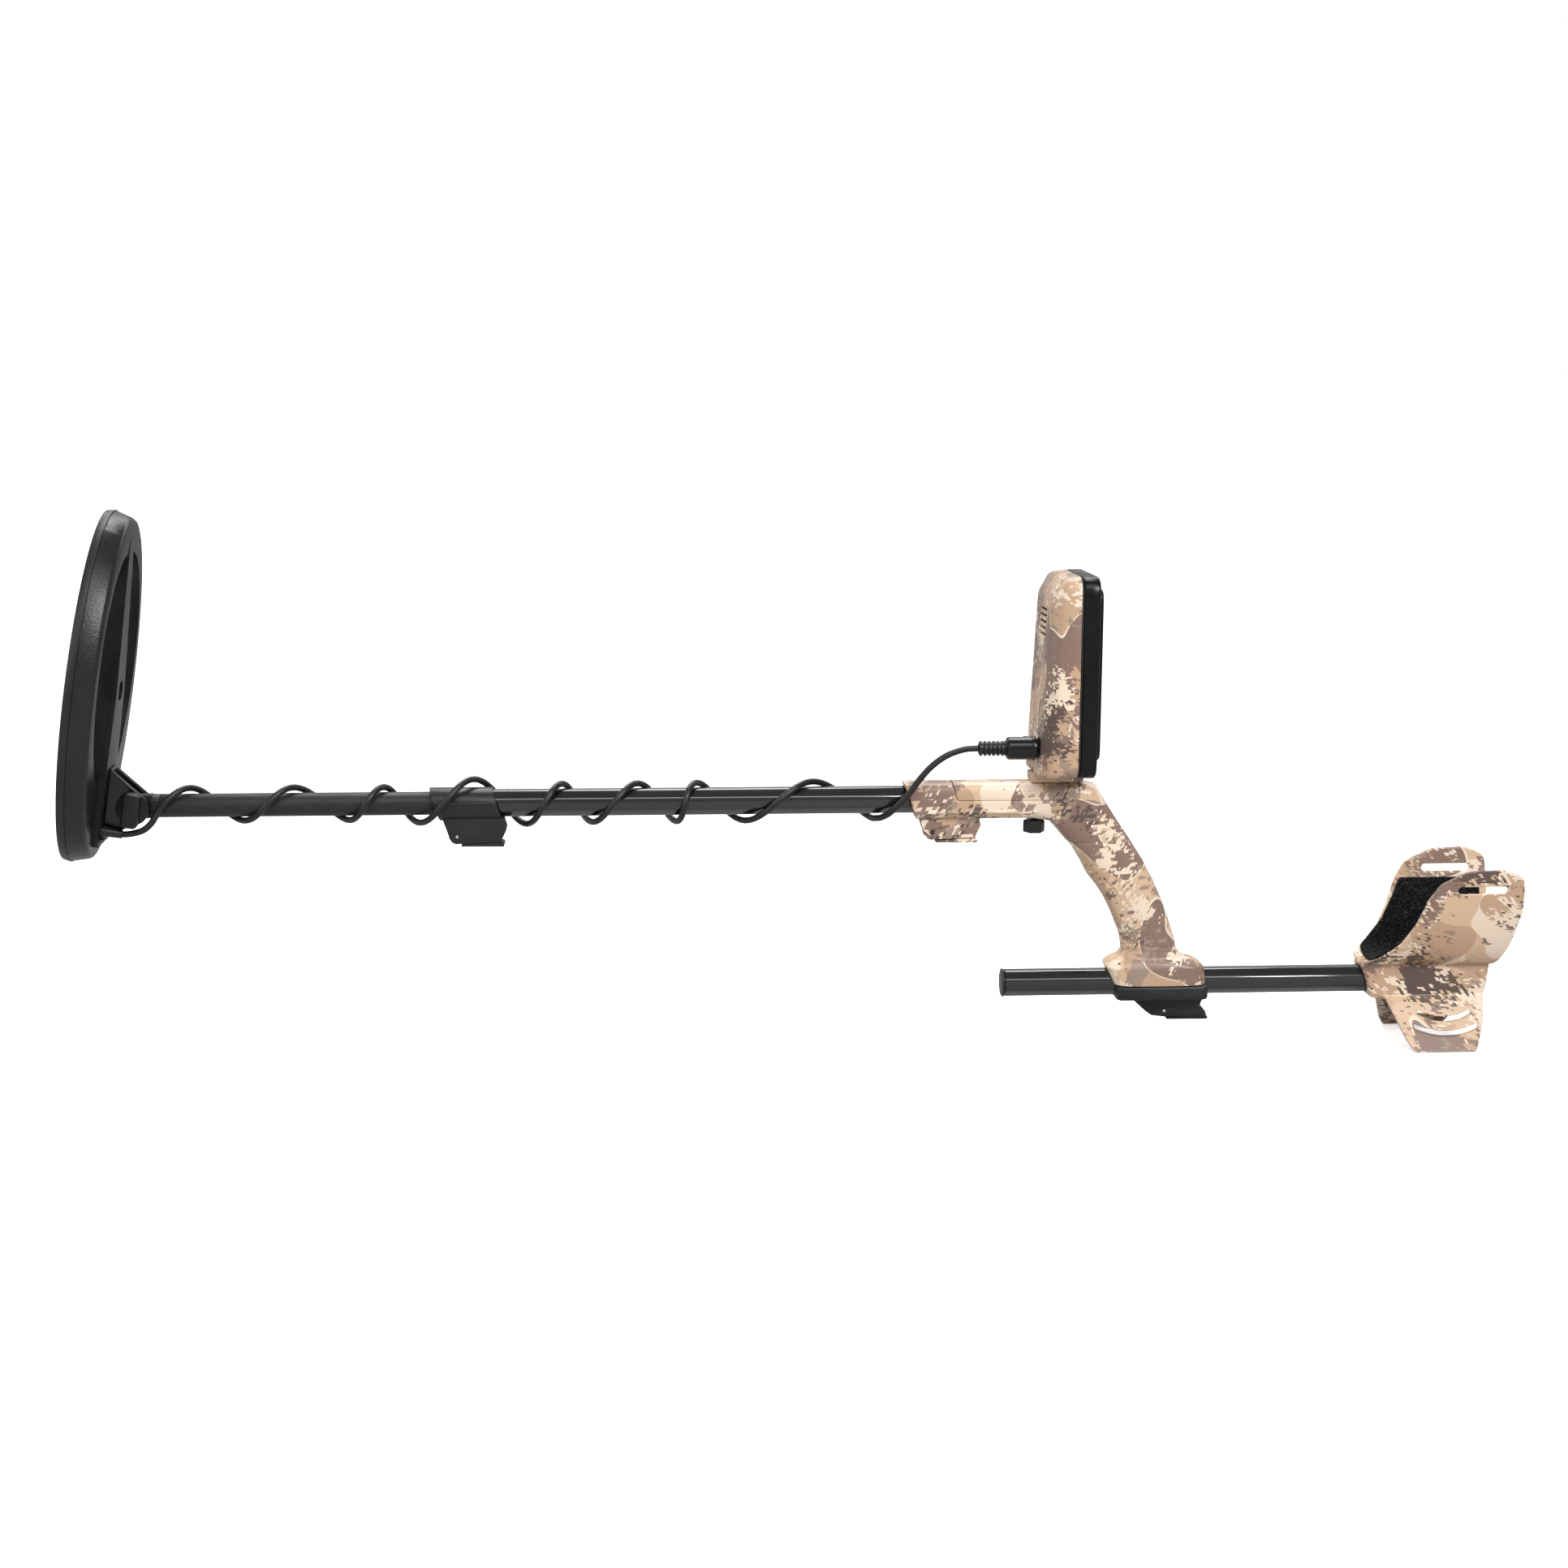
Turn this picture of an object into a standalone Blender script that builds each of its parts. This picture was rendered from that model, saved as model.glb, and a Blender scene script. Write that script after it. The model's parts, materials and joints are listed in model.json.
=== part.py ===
"""Metal detector with a folding search coil, a telescoping shaft, a display and an armrest.

Metres, +Z up. The shaft is level, the armrest's feet reach the ground, and the coil stands nearly
upright in front. Most pieces are placed in the shaft frame, whose +X runs along the shaft from the
coil's pivot towards the user, with +Z up from the shaft and -Y on the knob's side.
"""

import bmesh
import bpy
from math import cos, pi, radians, sin
from mathutils import Matrix, Vector

GAP = 0.0003                 # clearance between neighbouring pieces

# Search coil, in the coil frame: x is the coil's normal towards the user, z runs along its length.
COIL_LENGTH = 0.282
COIL_WIDTH = 0.180
COIL_CENTRE_Z = 0.090        # above the pivot
COIL_LEAN = radians(8.8)     # the coil's top leans towards the user
COVER_FACE_X = -0.0485
COVER_WALL = 0.0022
COVER_RIM_X = -0.0420
RING_TOP_X = -0.0265
SPINE_TOP_X = -0.0220
WINDOW_CENTRE_Z = 0.105
WINDOW_HALF_LENGTH = 0.0954
WINDOW_HALF_WIDTH = 0.073
SPINE_FRONT = (0.218, 0.007)     # z and half-width where the spine meets the ring
SPINE_REAR = (0.010, 0.022)
EAR_INNER_Y = 0.0080
EAR_THICKNESS = 0.0035
EAR_TIP_RADIUS = 0.012
EAR_BASE_HALF = 0.029
BOLT_RADIUS = 0.0029
GLAND_Y, GLAND_Z = -0.018, -0.0205

# Shafts
LOWER_RADIUS = 0.0094
TUBE_WALL = 0.0011
LOWER_START_X, LOWER_END_X = 0.020, 0.400
OCTAGON_FLAT = 0.01075       # half of the octagonal tubes' distance across flats
OCTAGON_SLIP = 0.0004        # clearance round an octagonal tube
MIDDLE_START_X, MIDDLE_END_X = 0.2643, 0.655
SLEEVE_TOP_X = (0.232, 0.282)
SLEEVE_BOTTOM_X = (0.241, 0.291)
SLEEVE_RADIUS = 0.0134
SLEEVE_AXIS_Z = -0.0006

# Cam locks: a pin, a lever with an eccentric cam, and a pad that the cam presses on the tube
CAM_RADIUS = 0.0068
PIN_RADIUS = 0.0016
CHEEK_INNER_Y, CHEEK_OUTER_Y = 0.0055, 0.0083
LEVER_HALF_Y = 0.0051
LOWER_PIN = (0.254, -0.0262)
UPPER_PIN = (0.6375, -0.0265)
BASE_PIN = (0.833, -0.1785)

# Handle
HANDLE_WALL = 0.0024
SCREW_X = 0.722
ARM_AXIS_Z = -0.1545
ARM_START_X, ARM_END_X = 0.700, 1.098
CLAMP_BOTTOM_Z = -0.1666

# Display unit
CASE_SEAM_X = 0.7500
CASE_HALF_Y = 0.047
CASE_BOTTOM_Z, CASE_TOP_Z = 0.022, 0.184
BEZEL_FRONT_X = 0.7640
PANEL_FRONT_X = 0.7675
SOCKET_Y, SOCKET_Z = -0.020, 0.0445
AUX_Z = 0.0385               # height of the capped second socket

# Armrest
CUFF_WALL = 0.003
FOOT_Z = -0.2068             # the feet's flat soles, below the shaft's axis
ARM_BOLT_X = 1.050
ARM_BOLT_SEAT_Z = -0.1412

# Extent along the shaft frame's X, from the coil's rim to the armrest's wings
FRONT_X, REAR_X = -0.0545, 1.1188

# Coil cable
CABLE_RADIUS = 0.0026
END_TURN = 0.02              # half turns in the short stretch at each end of a helix
HELIX_START = 0.55           # half turns at the ends of the cable's stretches
HELIX_MIDDLE = 6.05
HELIX_END = 15.9
HALF_TURN_X = (0.006, 0.041, 0.083, 0.123, 0.166, 0.195, 0.221, 0.266, 0.308,
               0.337, 0.361, 0.397, 0.429, 0.445, 0.484, 0.537, 0.591)


# ---------------------------------------------------------------- scene and helpers

def clear_scene():
    for obj in list(bpy.data.objects):
        bpy.data.objects.remove(obj, do_unlink=True)


def new_collection(name):
    collection = bpy.data.collections.new(name)
    bpy.context.scene.collection.children.link(collection)
    return collection


clear_scene()
PARTS = new_collection("metal_detector")
CUTTERS = new_collection("cutters")
MATERIALS = {}


def material(name, colour, roughness, metallic=0.0):
    made = bpy.data.materials.new(name)
    made.use_nodes = True
    shader = made.node_tree.nodes["Principled BSDF"]
    shader.inputs["Base Color"].default_value = (*colour, 1.0)
    shader.inputs["Roughness"].default_value = roughness
    shader.inputs["Metallic"].default_value = metallic
    MATERIALS[name] = made


def frame_empty(name, location, tilt=0.0, parent=None):
    """An empty that holds pieces; tilt turns it about Y."""
    empty = bpy.data.objects.new(name, None)
    empty.location = location
    empty.rotation_euler = (0.0, tilt, 0.0)
    empty.parent = parent
    empty.empty_display_size = 0.02
    PARTS.objects.link(empty)
    return empty


def place(name, bm, frame, slot, smooth=35):
    """Turns a bmesh into a part in the given frame; smooth is the sharp angle in degrees."""
    bmesh.ops.recalc_face_normals(bm, faces=bm.faces)
    mesh = bpy.data.meshes.new(name)
    bm.to_mesh(mesh)
    bm.free()
    mesh.materials.append(MATERIALS[slot])
    mesh.shade_smooth()
    mesh.set_sharp_from_angle(angle=smooth * pi / 180)
    obj = bpy.data.objects.new(name, mesh)
    obj.parent = frame
    PARTS.objects.link(obj)
    return obj


def as_cutter(obj):
    """Moves a piece to the cutters, which don't render."""
    PARTS.objects.unlink(obj)
    CUTTERS.objects.link(obj)
    obj.hide_render = True
    obj.display_type = "WIRE"
    return obj


def boolean(obj, other, operation):
    if other.name not in CUTTERS.objects:
        as_cutter(other)
    modifier = obj.modifiers.new(operation.lower(), "BOOLEAN")
    modifier.operation = operation
    modifier.object = other
    modifier.solver = "EXACT"


def cut(obj, *others):
    for other in others:
        boolean(obj, other, "DIFFERENCE")


def join(obj, *others):
    for other in others:
        boolean(obj, other, "UNION")


def bevel(obj, width, segments=2, angle=40):
    modifier = obj.modifiers.new("rounded_edges", "BEVEL")
    modifier.width = width
    modifier.segments = segments
    modifier.limit_method = "ANGLE"
    modifier.angle_limit = angle * pi / 180


def solidify(obj, thickness, offset=-1.0):
    modifier = obj.modifiers.new("wall", "SOLIDIFY")
    modifier.thickness = thickness
    modifier.offset = offset
    modifier.use_even_offset = True


def fillet(corners, steps=4):
    """Points of a closed outline whose corners (a, b, radius) are rounded by arcs."""
    points = []
    count = len(corners)
    for index, (a, b, radius) in enumerate(corners):
        here = Vector((a, b))
        before = Vector(corners[index - 1][:2]) - here
        after = Vector(corners[(index + 1) % count][:2]) - here
        if radius <= 0:
            points.append((a, b))
            continue
        half = before.angle(after) / 2
        reach = min(radius / max(abs(sin(half) / cos(half)), 1e-6),
                    before.length * 0.49, after.length * 0.49)
        start = here + before.normalized() * reach
        end = here + after.normalized() * reach
        for step in range(steps + 1):
            t = step / steps
            point = start * (1 - t) ** 2 + here * 2 * t * (1 - t) + end * t ** 2
            points.append((point.x, point.y))
    return points


def arc(centre, radius, start, end, steps):
    """Points on a circle about centre from start to end, in degrees."""
    angles = [(start + (end - start) * i / steps) * pi / 180 for i in range(steps + 1)]
    return [(centre[0] + radius * cos(a), centre[1] + radius * sin(a)) for a in angles]


def plate(outline, low, high, axis="Y"):
    """A bmesh of a flat outline that is extruded along axis from low to high.

    Along Y the outline is (x, z); along Z it is (x, y); along X it is (y, z).
    """
    to_point = {"Y": lambda a, b, h: (a, h, b), "Z": lambda a, b, h: (a, b, h),
                "X": lambda a, b, h: (h, a, b)}[axis]
    bm = bmesh.new()
    verts = [bm.verts.new(to_point(a, b, low)) for a, b in outline]
    face = bm.faces.new(verts)
    grown = bmesh.ops.extrude_face_region(bm, geom=[face])
    moved = [item for item in grown["geom"] if isinstance(item, bmesh.types.BMVert)]
    bmesh.ops.translate(bm, verts=moved, vec=to_point(0, 0, high - low))
    return bm


def block(low, high):
    bm = bmesh.new()
    bmesh.ops.create_cube(bm, size=1.0)
    size = [b - a for a, b in zip(low, high)]
    middle = [(a + b) / 2 for a, b in zip(low, high)]
    bmesh.ops.scale(bm, vec=size, verts=bm.verts)
    bmesh.ops.translate(bm, vec=middle, verts=bm.verts)
    return bm


TURN_TO = {"X": Matrix.Rotation(pi / 2, 4, "Y"), "Y": Matrix.Rotation(-pi / 2, 4, "X"),
           "Z": Matrix.Identity(4)}


def rod(centre, radius, low, high, axis="Y", sides=24, end_radius=None):
    """A solid cylinder or cone. centre holds its two other coordinates, in X, Y, Z order."""
    bm = bmesh.new()
    bmesh.ops.create_cone(bm, cap_ends=True, segments=sides, radius1=radius,
                          radius2=radius if end_radius is None else end_radius, depth=high - low)
    bmesh.ops.transform(bm, matrix=TURN_TO[axis], verts=bm.verts)
    middle = (low + high) / 2
    where = {"X": (middle, *centre), "Y": (centre[0], middle, centre[1]), "Z": (*centre, middle)}
    bmesh.ops.translate(bm, vec=where[axis], verts=bm.verts)
    return bm


def octagon_bar(flat, low, high, z=0.0):
    """A solid octagonal bar along X with a flat on top; flat is half the distance across flats."""
    bm = bmesh.new()
    corner = flat / cos(pi / 8)
    bmesh.ops.create_cone(bm, cap_ends=True, segments=8, radius1=corner, radius2=corner,
                          depth=high - low)
    bmesh.ops.rotate(bm, matrix=Matrix.Rotation(pi / 8, 3, "Z"), verts=bm.verts)
    bmesh.ops.transform(bm, matrix=TURN_TO["X"], verts=bm.verts)
    bmesh.ops.translate(bm, vec=((low + high) / 2, 0, z), verts=bm.verts)
    return bm


def octagon_tube(name, low, high, z, frame, slot):
    """An open octagonal skin with rounded edges and a wall inside it."""
    bm = octagon_bar(OCTAGON_FLAT, low, high, z)
    ends = [face for face in bm.faces if abs(face.normal.x) > 0.9]
    bmesh.ops.delete(bm, geom=ends, context="FACES_ONLY")
    tube = place(name, bm, frame, slot, smooth=20)
    bevel(tube, 0.0014, 3, 30)
    solidify(tube, TUBE_WALL)
    return tube


def turned(name, profile, frame, slot, steps=24, axis="Y", at=(0.0, 0.0, 0.0)):
    """A profile of (radius, height) points turned about an axis by a Screw."""
    following = profile[1:] + profile[:1]
    area = sum(r * next_h - next_r * h for (r, h), (next_r, next_h) in zip(profile, following))
    if area > 0:
        profile = profile[::-1]
    mesh = bpy.data.meshes.new(name)
    turn = TURN_TO[axis].to_3x3()
    points = [turn @ Vector((r, 0, h)) for r, h in profile]
    mesh.from_pydata(points, [(i, i + 1) for i in range(len(points) - 1)], [])
    mesh.materials.append(MATERIALS[slot])
    obj = bpy.data.objects.new(name, mesh)
    obj.parent = frame
    obj.location = at
    PARTS.objects.link(obj)
    screw = obj.modifiers.new("turn", "SCREW")
    screw.axis = axis
    screw.steps = screw.render_steps = steps
    screw.use_merge_vertices = True
    screw.merge_threshold = 0.00001
    screw.use_smooth_shade = True
    return obj


def loft(rings, closed_ring=True):
    """A bmesh skin over rings that all have the same number of points, with its ends left open."""
    bm = bmesh.new()
    rows = [[bm.verts.new(point) for point in ring] for ring in rings]
    count = len(rows[0])
    last = count if closed_ring else count - 1
    for row, following in zip(rows, rows[1:]):
        for i in range(last):
            j = (i + 1) % count
            bm.faces.new((row[i], row[j], following[j], following[i]))
    return bm




# ---------------------------------------------------------------- search coil

def coil_ellipse(inset, count=72, half=None):
    """Outline (y, z) of the coil drawn in by inset."""
    long_half = COIL_LENGTH / 2 - inset
    wide_half = COIL_WIDTH / 2 - inset if half is None else half
    turns = [2 * pi * i / count for i in range(count)]
    return [(wide_half * cos(t), COIL_CENTRE_Z + long_half * sin(t)) for t in turns]


def spine_half(z):
    """Half-width of the spine at height z."""
    share = (z - SPINE_REAR[0]) / (SPINE_FRONT[0] - SPINE_REAR[0])
    return SPINE_REAR[1] + share * (SPINE_FRONT[1] - SPINE_REAR[1])


def window_outline(side, inset=0.0, steps=22):
    """One opening beside the spine: an elliptical arc closed by the spine's straight edge."""
    long_half = WINDOW_HALF_LENGTH - inset
    wide_half = WINDOW_HALF_WIDTH - inset
    points = []
    for step in range(steps + 1):
        t = (-pi / 2) + pi * step / steps
        z = WINDOW_CENTRE_Z + long_half * sin(t)
        y = wide_half * cos(t) ** 0.9
        if y > spine_half(z) + inset + 0.003:
            points.append((side * y, z))
    top, bottom = points[-1][1] - 0.001, points[0][1] + 0.001
    points.append((side * (spine_half(top) + inset), top - 0.004))
    points.append((side * (spine_half(bottom) + inset), bottom + 0.006))
    return points


def coil_blank(name, low_x, high_x, low_inset, high_inset, slot, frame, edge=0.0):
    """A drafted elliptical plate."""
    low = [(low_x, y, z) for y, z in coil_ellipse(low_inset)]
    high = [(high_x, y, z) for y, z in coil_ellipse(high_inset)]
    rings = [low, high]
    if edge:
        share = 1 - edge / (high_x - low_x)
        inset = low_inset + (high_inset - low_inset) * share
        side = [(high_x - edge, y, z) for y, z in coil_ellipse(inset)]
        shoulder = [(high_x - edge * 0.3, y, z) for y, z in coil_ellipse(high_inset + edge * 0.2)]
        top = [(high_x, y, z) for y, z in coil_ellipse(high_inset + edge)]
        rings = [low, side, shoulder, top]
    bm = loft(rings)
    bmesh.ops.holes_fill(bm, edges=[e for e in bm.edges if e.is_boundary])
    return place(name, bm, frame, slot, smooth=40)


def window_cutters(name, low_x, high_x, inset, frame):
    return [place(f"{name}_window_{side}", plate(window_outline(side, inset), low_x, high_x, "X"),
                  frame, "coil_black") for side in (-1, 1)]


def make_coil_shells(frame):
    cover = coil_blank("coil_cover", COVER_FACE_X, COVER_RIM_X, 0.0012, 0.0, "cover_black", frame)
    hollow = coil_blank("cover_hollow", COVER_FACE_X + COVER_WALL, COVER_RIM_X + 0.002,
                        0.0026, 0.0024, "cover_black", frame)
    cut(cover, hollow, *window_cutters("cover", -0.055, -0.035, 0.006, frame))

    lower = coil_blank("coil_lower_shell", COVER_FACE_X + COVER_WALL + GAP, COVER_RIM_X,
                       0.0030, 0.0028, "coil_black", frame)
    pocket = place("lower_pocket", plate(coil_ellipse(0.0055), -0.0440, -0.038, "X"), frame,
                   "coil_black")
    cut(lower, pocket, *window_cutters("lower", -0.055, -0.035, 0.006, frame))
    wall = make_window_walls("lower_walls", -0.0445, COVER_RIM_X, 0.006, 0.0022, frame)
    join(lower, *wall)

    upper = coil_blank("coil_upper_shell", COVER_RIM_X + GAP, RING_TOP_X, 0.0008, 0.0052,
                       "coil_black", frame, edge=0.0030)
    join(upper, make_spine(frame))
    ring = place("winding_channel", plate(coil_ellipse(0.0060), -0.045, -0.0300, "X"), frame,
                 "coil_black")
    core = place("winding_core", plate(coil_ellipse(0.0, half=0.0766), -0.046, -0.029, "X"),
                 frame, "coil_black")
    core.data.transform(Matrix.Translation((0, 0, COIL_CENTRE_Z)) @ Matrix.Diagonal((1, 1, 0.872, 1))
                        @ Matrix.Translation((0, 0, -COIL_CENTRE_Z)))
    cut(ring, core)
    trench = place("winding_trench", block((-0.045, -0.0058, -0.036), (-0.0300, 0.0058, 0.2200)),
                   frame, "coil_black")
    centre = place("centre_recess", rod((0.0, COIL_CENTRE_Z), 0.008, -0.0245, -0.015, "X"), frame,
                   "coil_black")
    cut(upper, ring, trench, centre, *window_cutters("upper", -0.055, -0.015, 0.0, frame))


def make_window_walls(name, low_x, high_x, inset, thickness, frame):
    """Upright walls round the two openings."""
    walls = []
    for side in (-1, 1):
        outer = place(f"{name}_{side}", plate(window_outline(side, inset - thickness), low_x,
                                              high_x, "X"), frame, "coil_black")
        inner = place(f"{name}_hole_{side}", plate(window_outline(side, inset), low_x - 0.01,
                                                   high_x + 0.01, "X"), frame, "coil_black")
        cut(outer, inner)
        walls.append(outer)
    return walls


def make_spine(frame):
    """The raised spine between the openings, rising from flush at the front to full height."""
    outline = [(-0.0070, 0.212), (-0.0157, 0.090), (-0.0225, 0.004), (-0.0240, -0.022),
               (-0.0210, -0.0335), (0.0210, -0.0335), (0.0240, -0.022), (0.0225, 0.004),
               (0.0157, 0.090), (0.0070, 0.212)]
    bm = plate(outline, -0.0300, SPINE_TOP_X, "X")
    for vert in bm.verts:
        if vert.co.x > -0.025 and vert.co.z > 0.15:
            vert.co.x = RING_TOP_X + 0.0002
    return place("spine", bm, frame, "coil_black")


def make_windings(frame):
    """Two overlapping D-shaped windings, one in each half of the coil, at two levels."""
    for name, side, level in (("transmit_winding", 1, -0.0390), ("receive_winding", -1, -0.0334)):
        curve = bpy.data.curves.new(name, "CURVE")
        curve.dimensions = "3D"
        curve.bevel_depth = 0.0023
        curve.bevel_resolution = 1
        curve.use_fill_caps = True
        arc_points = [(level, side * 0.0802 * sin(t), COIL_CENTRE_Z + 0.1280 * cos(t))
                      for t in (0.03 * pi + 0.94 * pi * i / 24 for i in range(25))]
        straight = [(level, side * -0.0022, z) for z in (-0.0372, 0.05, 0.13, 0.2172)]
        spline = curve.splines.new("POLY")
        points = arc_points + straight
        spline.points.add(len(points) - 1)
        for point, where in zip(spline.points, points):
            point.co = (*where, 1.0)
        spline.use_cyclic_u = True
        curve.materials.append(MATERIALS["copper"])
        obj = bpy.data.objects.new(name, curve)
        obj.parent = frame
        PARTS.objects.link(obj)


def make_yoke(frame):
    """Two triangular ears on a base plate, with the bolt's hole through them."""
    base = SPINE_TOP_X + GAP
    corner_angle = 34
    outline = [(base, EAR_BASE_HALF), (base, -EAR_BASE_HALF)]
    outline += [(x, z) for x, z in arc((0, 0), EAR_TIP_RADIUS, -90 + corner_angle,
                                       90 - corner_angle, 10)]
    outer = EAR_INNER_Y + EAR_THICKNESS
    yoke = place("coil_yoke", plate([(base, -EAR_BASE_HALF), (base + 0.0025, -EAR_BASE_HALF),
                                     (base + 0.0025, EAR_BASE_HALF), (base, EAR_BASE_HALF)],
                                    -outer, outer), frame, "yoke_black")
    for side in (-1, 1):
        low, high = sorted((side * EAR_INNER_Y, side * outer))
        ear = place(f"ear_{side}", plate(outline, low, high), frame, "yoke_black")
        join(yoke, ear)
    cut(yoke, place("bolt_hole", rod((0, 0), BOLT_RADIUS + 0.0002, -0.02, 0.02), frame,
                    "yoke_black"))
    bevel(yoke, 0.0006, 1)


def make_pivot_hardware(coil):
    ear_face = EAR_INNER_Y + EAR_THICKNESS
    head = ear_face + 0.0003
    profile = [(0.0, head + 0.0038), (0.0046, head + 0.0038), (0.0052, head + 0.0030),
               (0.0052, head), (BOLT_RADIUS, head), (BOLT_RADIUS, -0.0205), (0.0, -0.0205)]
    turned("coil_bolt", profile, coil, "zinc", 20)
    for name, side in (("friction_washer_left", -1), ("friction_washer_right", 1)):
        low, high = sorted((side * 0.0057, side * (EAR_INNER_Y - 0.0003)))
        ring = [(0.0034, high), (0.0088, high), (0.0088, low), (0.0034, low), (0.0034, high)]
        turned(name, ring, coil, "washer_rubber", 20)
    face = -(ear_face + 0.0003)
    knob = place("coil_knob", rod((0, 0), 0.0130, face - 0.0042, face, sides=32), coil,
                 "knob_black")
    grip = fillet([(-0.0066, -0.0138, 0.004), (0.0066, -0.0138, 0.004), (0.0066, 0.0138, 0.004),
                   (-0.0066, 0.0138, 0.004)], 5)
    bar = place("knob_bar", plate(grip, -0.0270, face - 0.0030), coil, "knob_black")
    bevel(bar, 0.0016, 2)
    join(knob, bar)
    cut(knob, place("knob_bore", rod((0, 0), BOLT_RADIUS + 0.0003, -0.0210, 0.0), coil,
                    "knob_black"))


def make_gland(frame):
    """The collar and tapered boot that the coil's cable leaves through."""
    profile = [(0.0029, 0.0170), (0.0035, 0.0168), (0.0038, 0.0045), (0.0046, 0.0040),
               (0.0046, 0.0), (0.0, 0.0), (0.0, 0.0158), (0.0029, 0.0158), (0.0029, 0.0170)]
    base = SPINE_TOP_X + GAP
    turned("cable_gland", profile, frame, "cable_rubber", 16, axis="X",
           at=(base, GLAND_Y, GLAND_Z))


# ---------------------------------------------------------------- shafts and the lower lock

def make_lower_shaft(frame):
    outline = arc((0, 0), 0.0092, 90, 270, 12) + [(0.0140, -0.0092), (0.0140, 0.0092)]
    tip = place("lower_shaft_tip", plate(outline, -0.0054, 0.0054), frame, "shaft_grey")
    collar = place("tip_collar", rod((0, 0), LOWER_RADIUS, 0.0127, LOWER_START_X - GAP, "X", 32),
                   frame, "shaft_grey")
    flats = place("tip_flats", block((0.0, -0.0077, -0.02), (0.03, 0.0077, 0.02)), frame,
                  "shaft_grey")
    boolean(collar, flats, "INTERSECT")
    plug = place("tip_plug", rod((0, 0), LOWER_RADIUS - TUBE_WALL - GAP, 0.018, 0.060, "X", 32),
                 frame, "shaft_grey")
    join(tip, collar, plug)
    cut(tip, place("tip_hole", rod((0, 0), BOLT_RADIUS + 0.0003, -0.02, 0.02), frame,
                   "shaft_grey"))

    bm = rod((0, 0), LOWER_RADIUS, LOWER_START_X, LOWER_END_X, "X", 32)
    ends = [face for face in bm.faces if abs(face.normal.x) > 0.9]
    bmesh.ops.delete(bm, geom=ends, context="FACES_ONLY")
    tube = place("lower_shaft_tube", bm, frame, "shaft_grey")
    solidify(tube, TUBE_WALL)


def cheek_outline(pin, front, rear, top):
    """Side outline of a lock's cheeks round the lever's pin, x rearwards."""
    x, z = pin
    boss = arc(pin, 0.0060, 195, 262, 5)
    return [(front, top), *boss, (rear - 0.006, z - 0.0047), (rear - 0.0035, z - 0.0044),
            (rear - 0.0005, z + 0.0020), (rear + 0.0014, z + 0.0062), (rear + 0.0002, z + 0.0100),
            (rear - 0.0010, top)]


def lever_outlines(pin, length):
    """The cam with its web, and the plate that a thumb pulls."""
    x, z = pin
    cam = arc(pin, CAM_RADIUS, 60, 200, 9)
    heel = arc(pin, 0.0058, 215, 262, 4)
    web = cam + heel + [(x + 0.0050, z - 0.0056), (x + length - 0.004, z - 0.0060),
                        (x + length - 0.004, z + 0.0010), (x + 0.0120, z + 0.0030)]
    thumb = [(x + 0.0045, z - 0.0063), (x + 0.0030, z - 0.0080), (x + length - 0.001, z - 0.0083),
             (x + length, z - 0.0066), (x + length - 0.0012, z - 0.0051)]
    return web, thumb


def make_cam_lock(name, pin, length, parent, slot, pad_top, thumb_half, upwards=True):
    """The lever on its own pivot empty, its pin, and the pad between the cam and the tube."""
    x, z = pin
    pivot = frame_empty(f"{name}_lever_pivot", (x, 0, z), parent=parent)
    web, thumb = lever_outlines((0.0, 0.0), length)
    lever = place(f"{name}_lever", plate(web, -LEVER_HALF_Y, LEVER_HALF_Y), pivot, slot)
    join(lever, place(f"{name}_thumb", plate(thumb, -thumb_half, thumb_half), pivot, slot))
    cut(lever, place(f"{name}_lever_bore", rod((0, 0), PIN_RADIUS + 0.0003, -0.02, 0.02, sides=16),
                     pivot, slot))
    half = CHEEK_OUTER_Y + 0.0004
    profile = [(0.0, half), (PIN_RADIUS * 0.7, half), (PIN_RADIUS, half - 0.0005),
               (PIN_RADIUS, -half + 0.0005), (PIN_RADIUS * 0.7, -half), (0.0, -half)]
    turned(f"{name}_pin", profile, parent, "zinc", 14, at=(x, 0.0, z))
    low = z + CAM_RADIUS + GAP
    pad = place(f"{name}_pad", block((x - 0.0070, -0.0046, low), (x + 0.0070, 0.0046, pad_top)),
                parent, "washer_rubber")
    return pad


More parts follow.
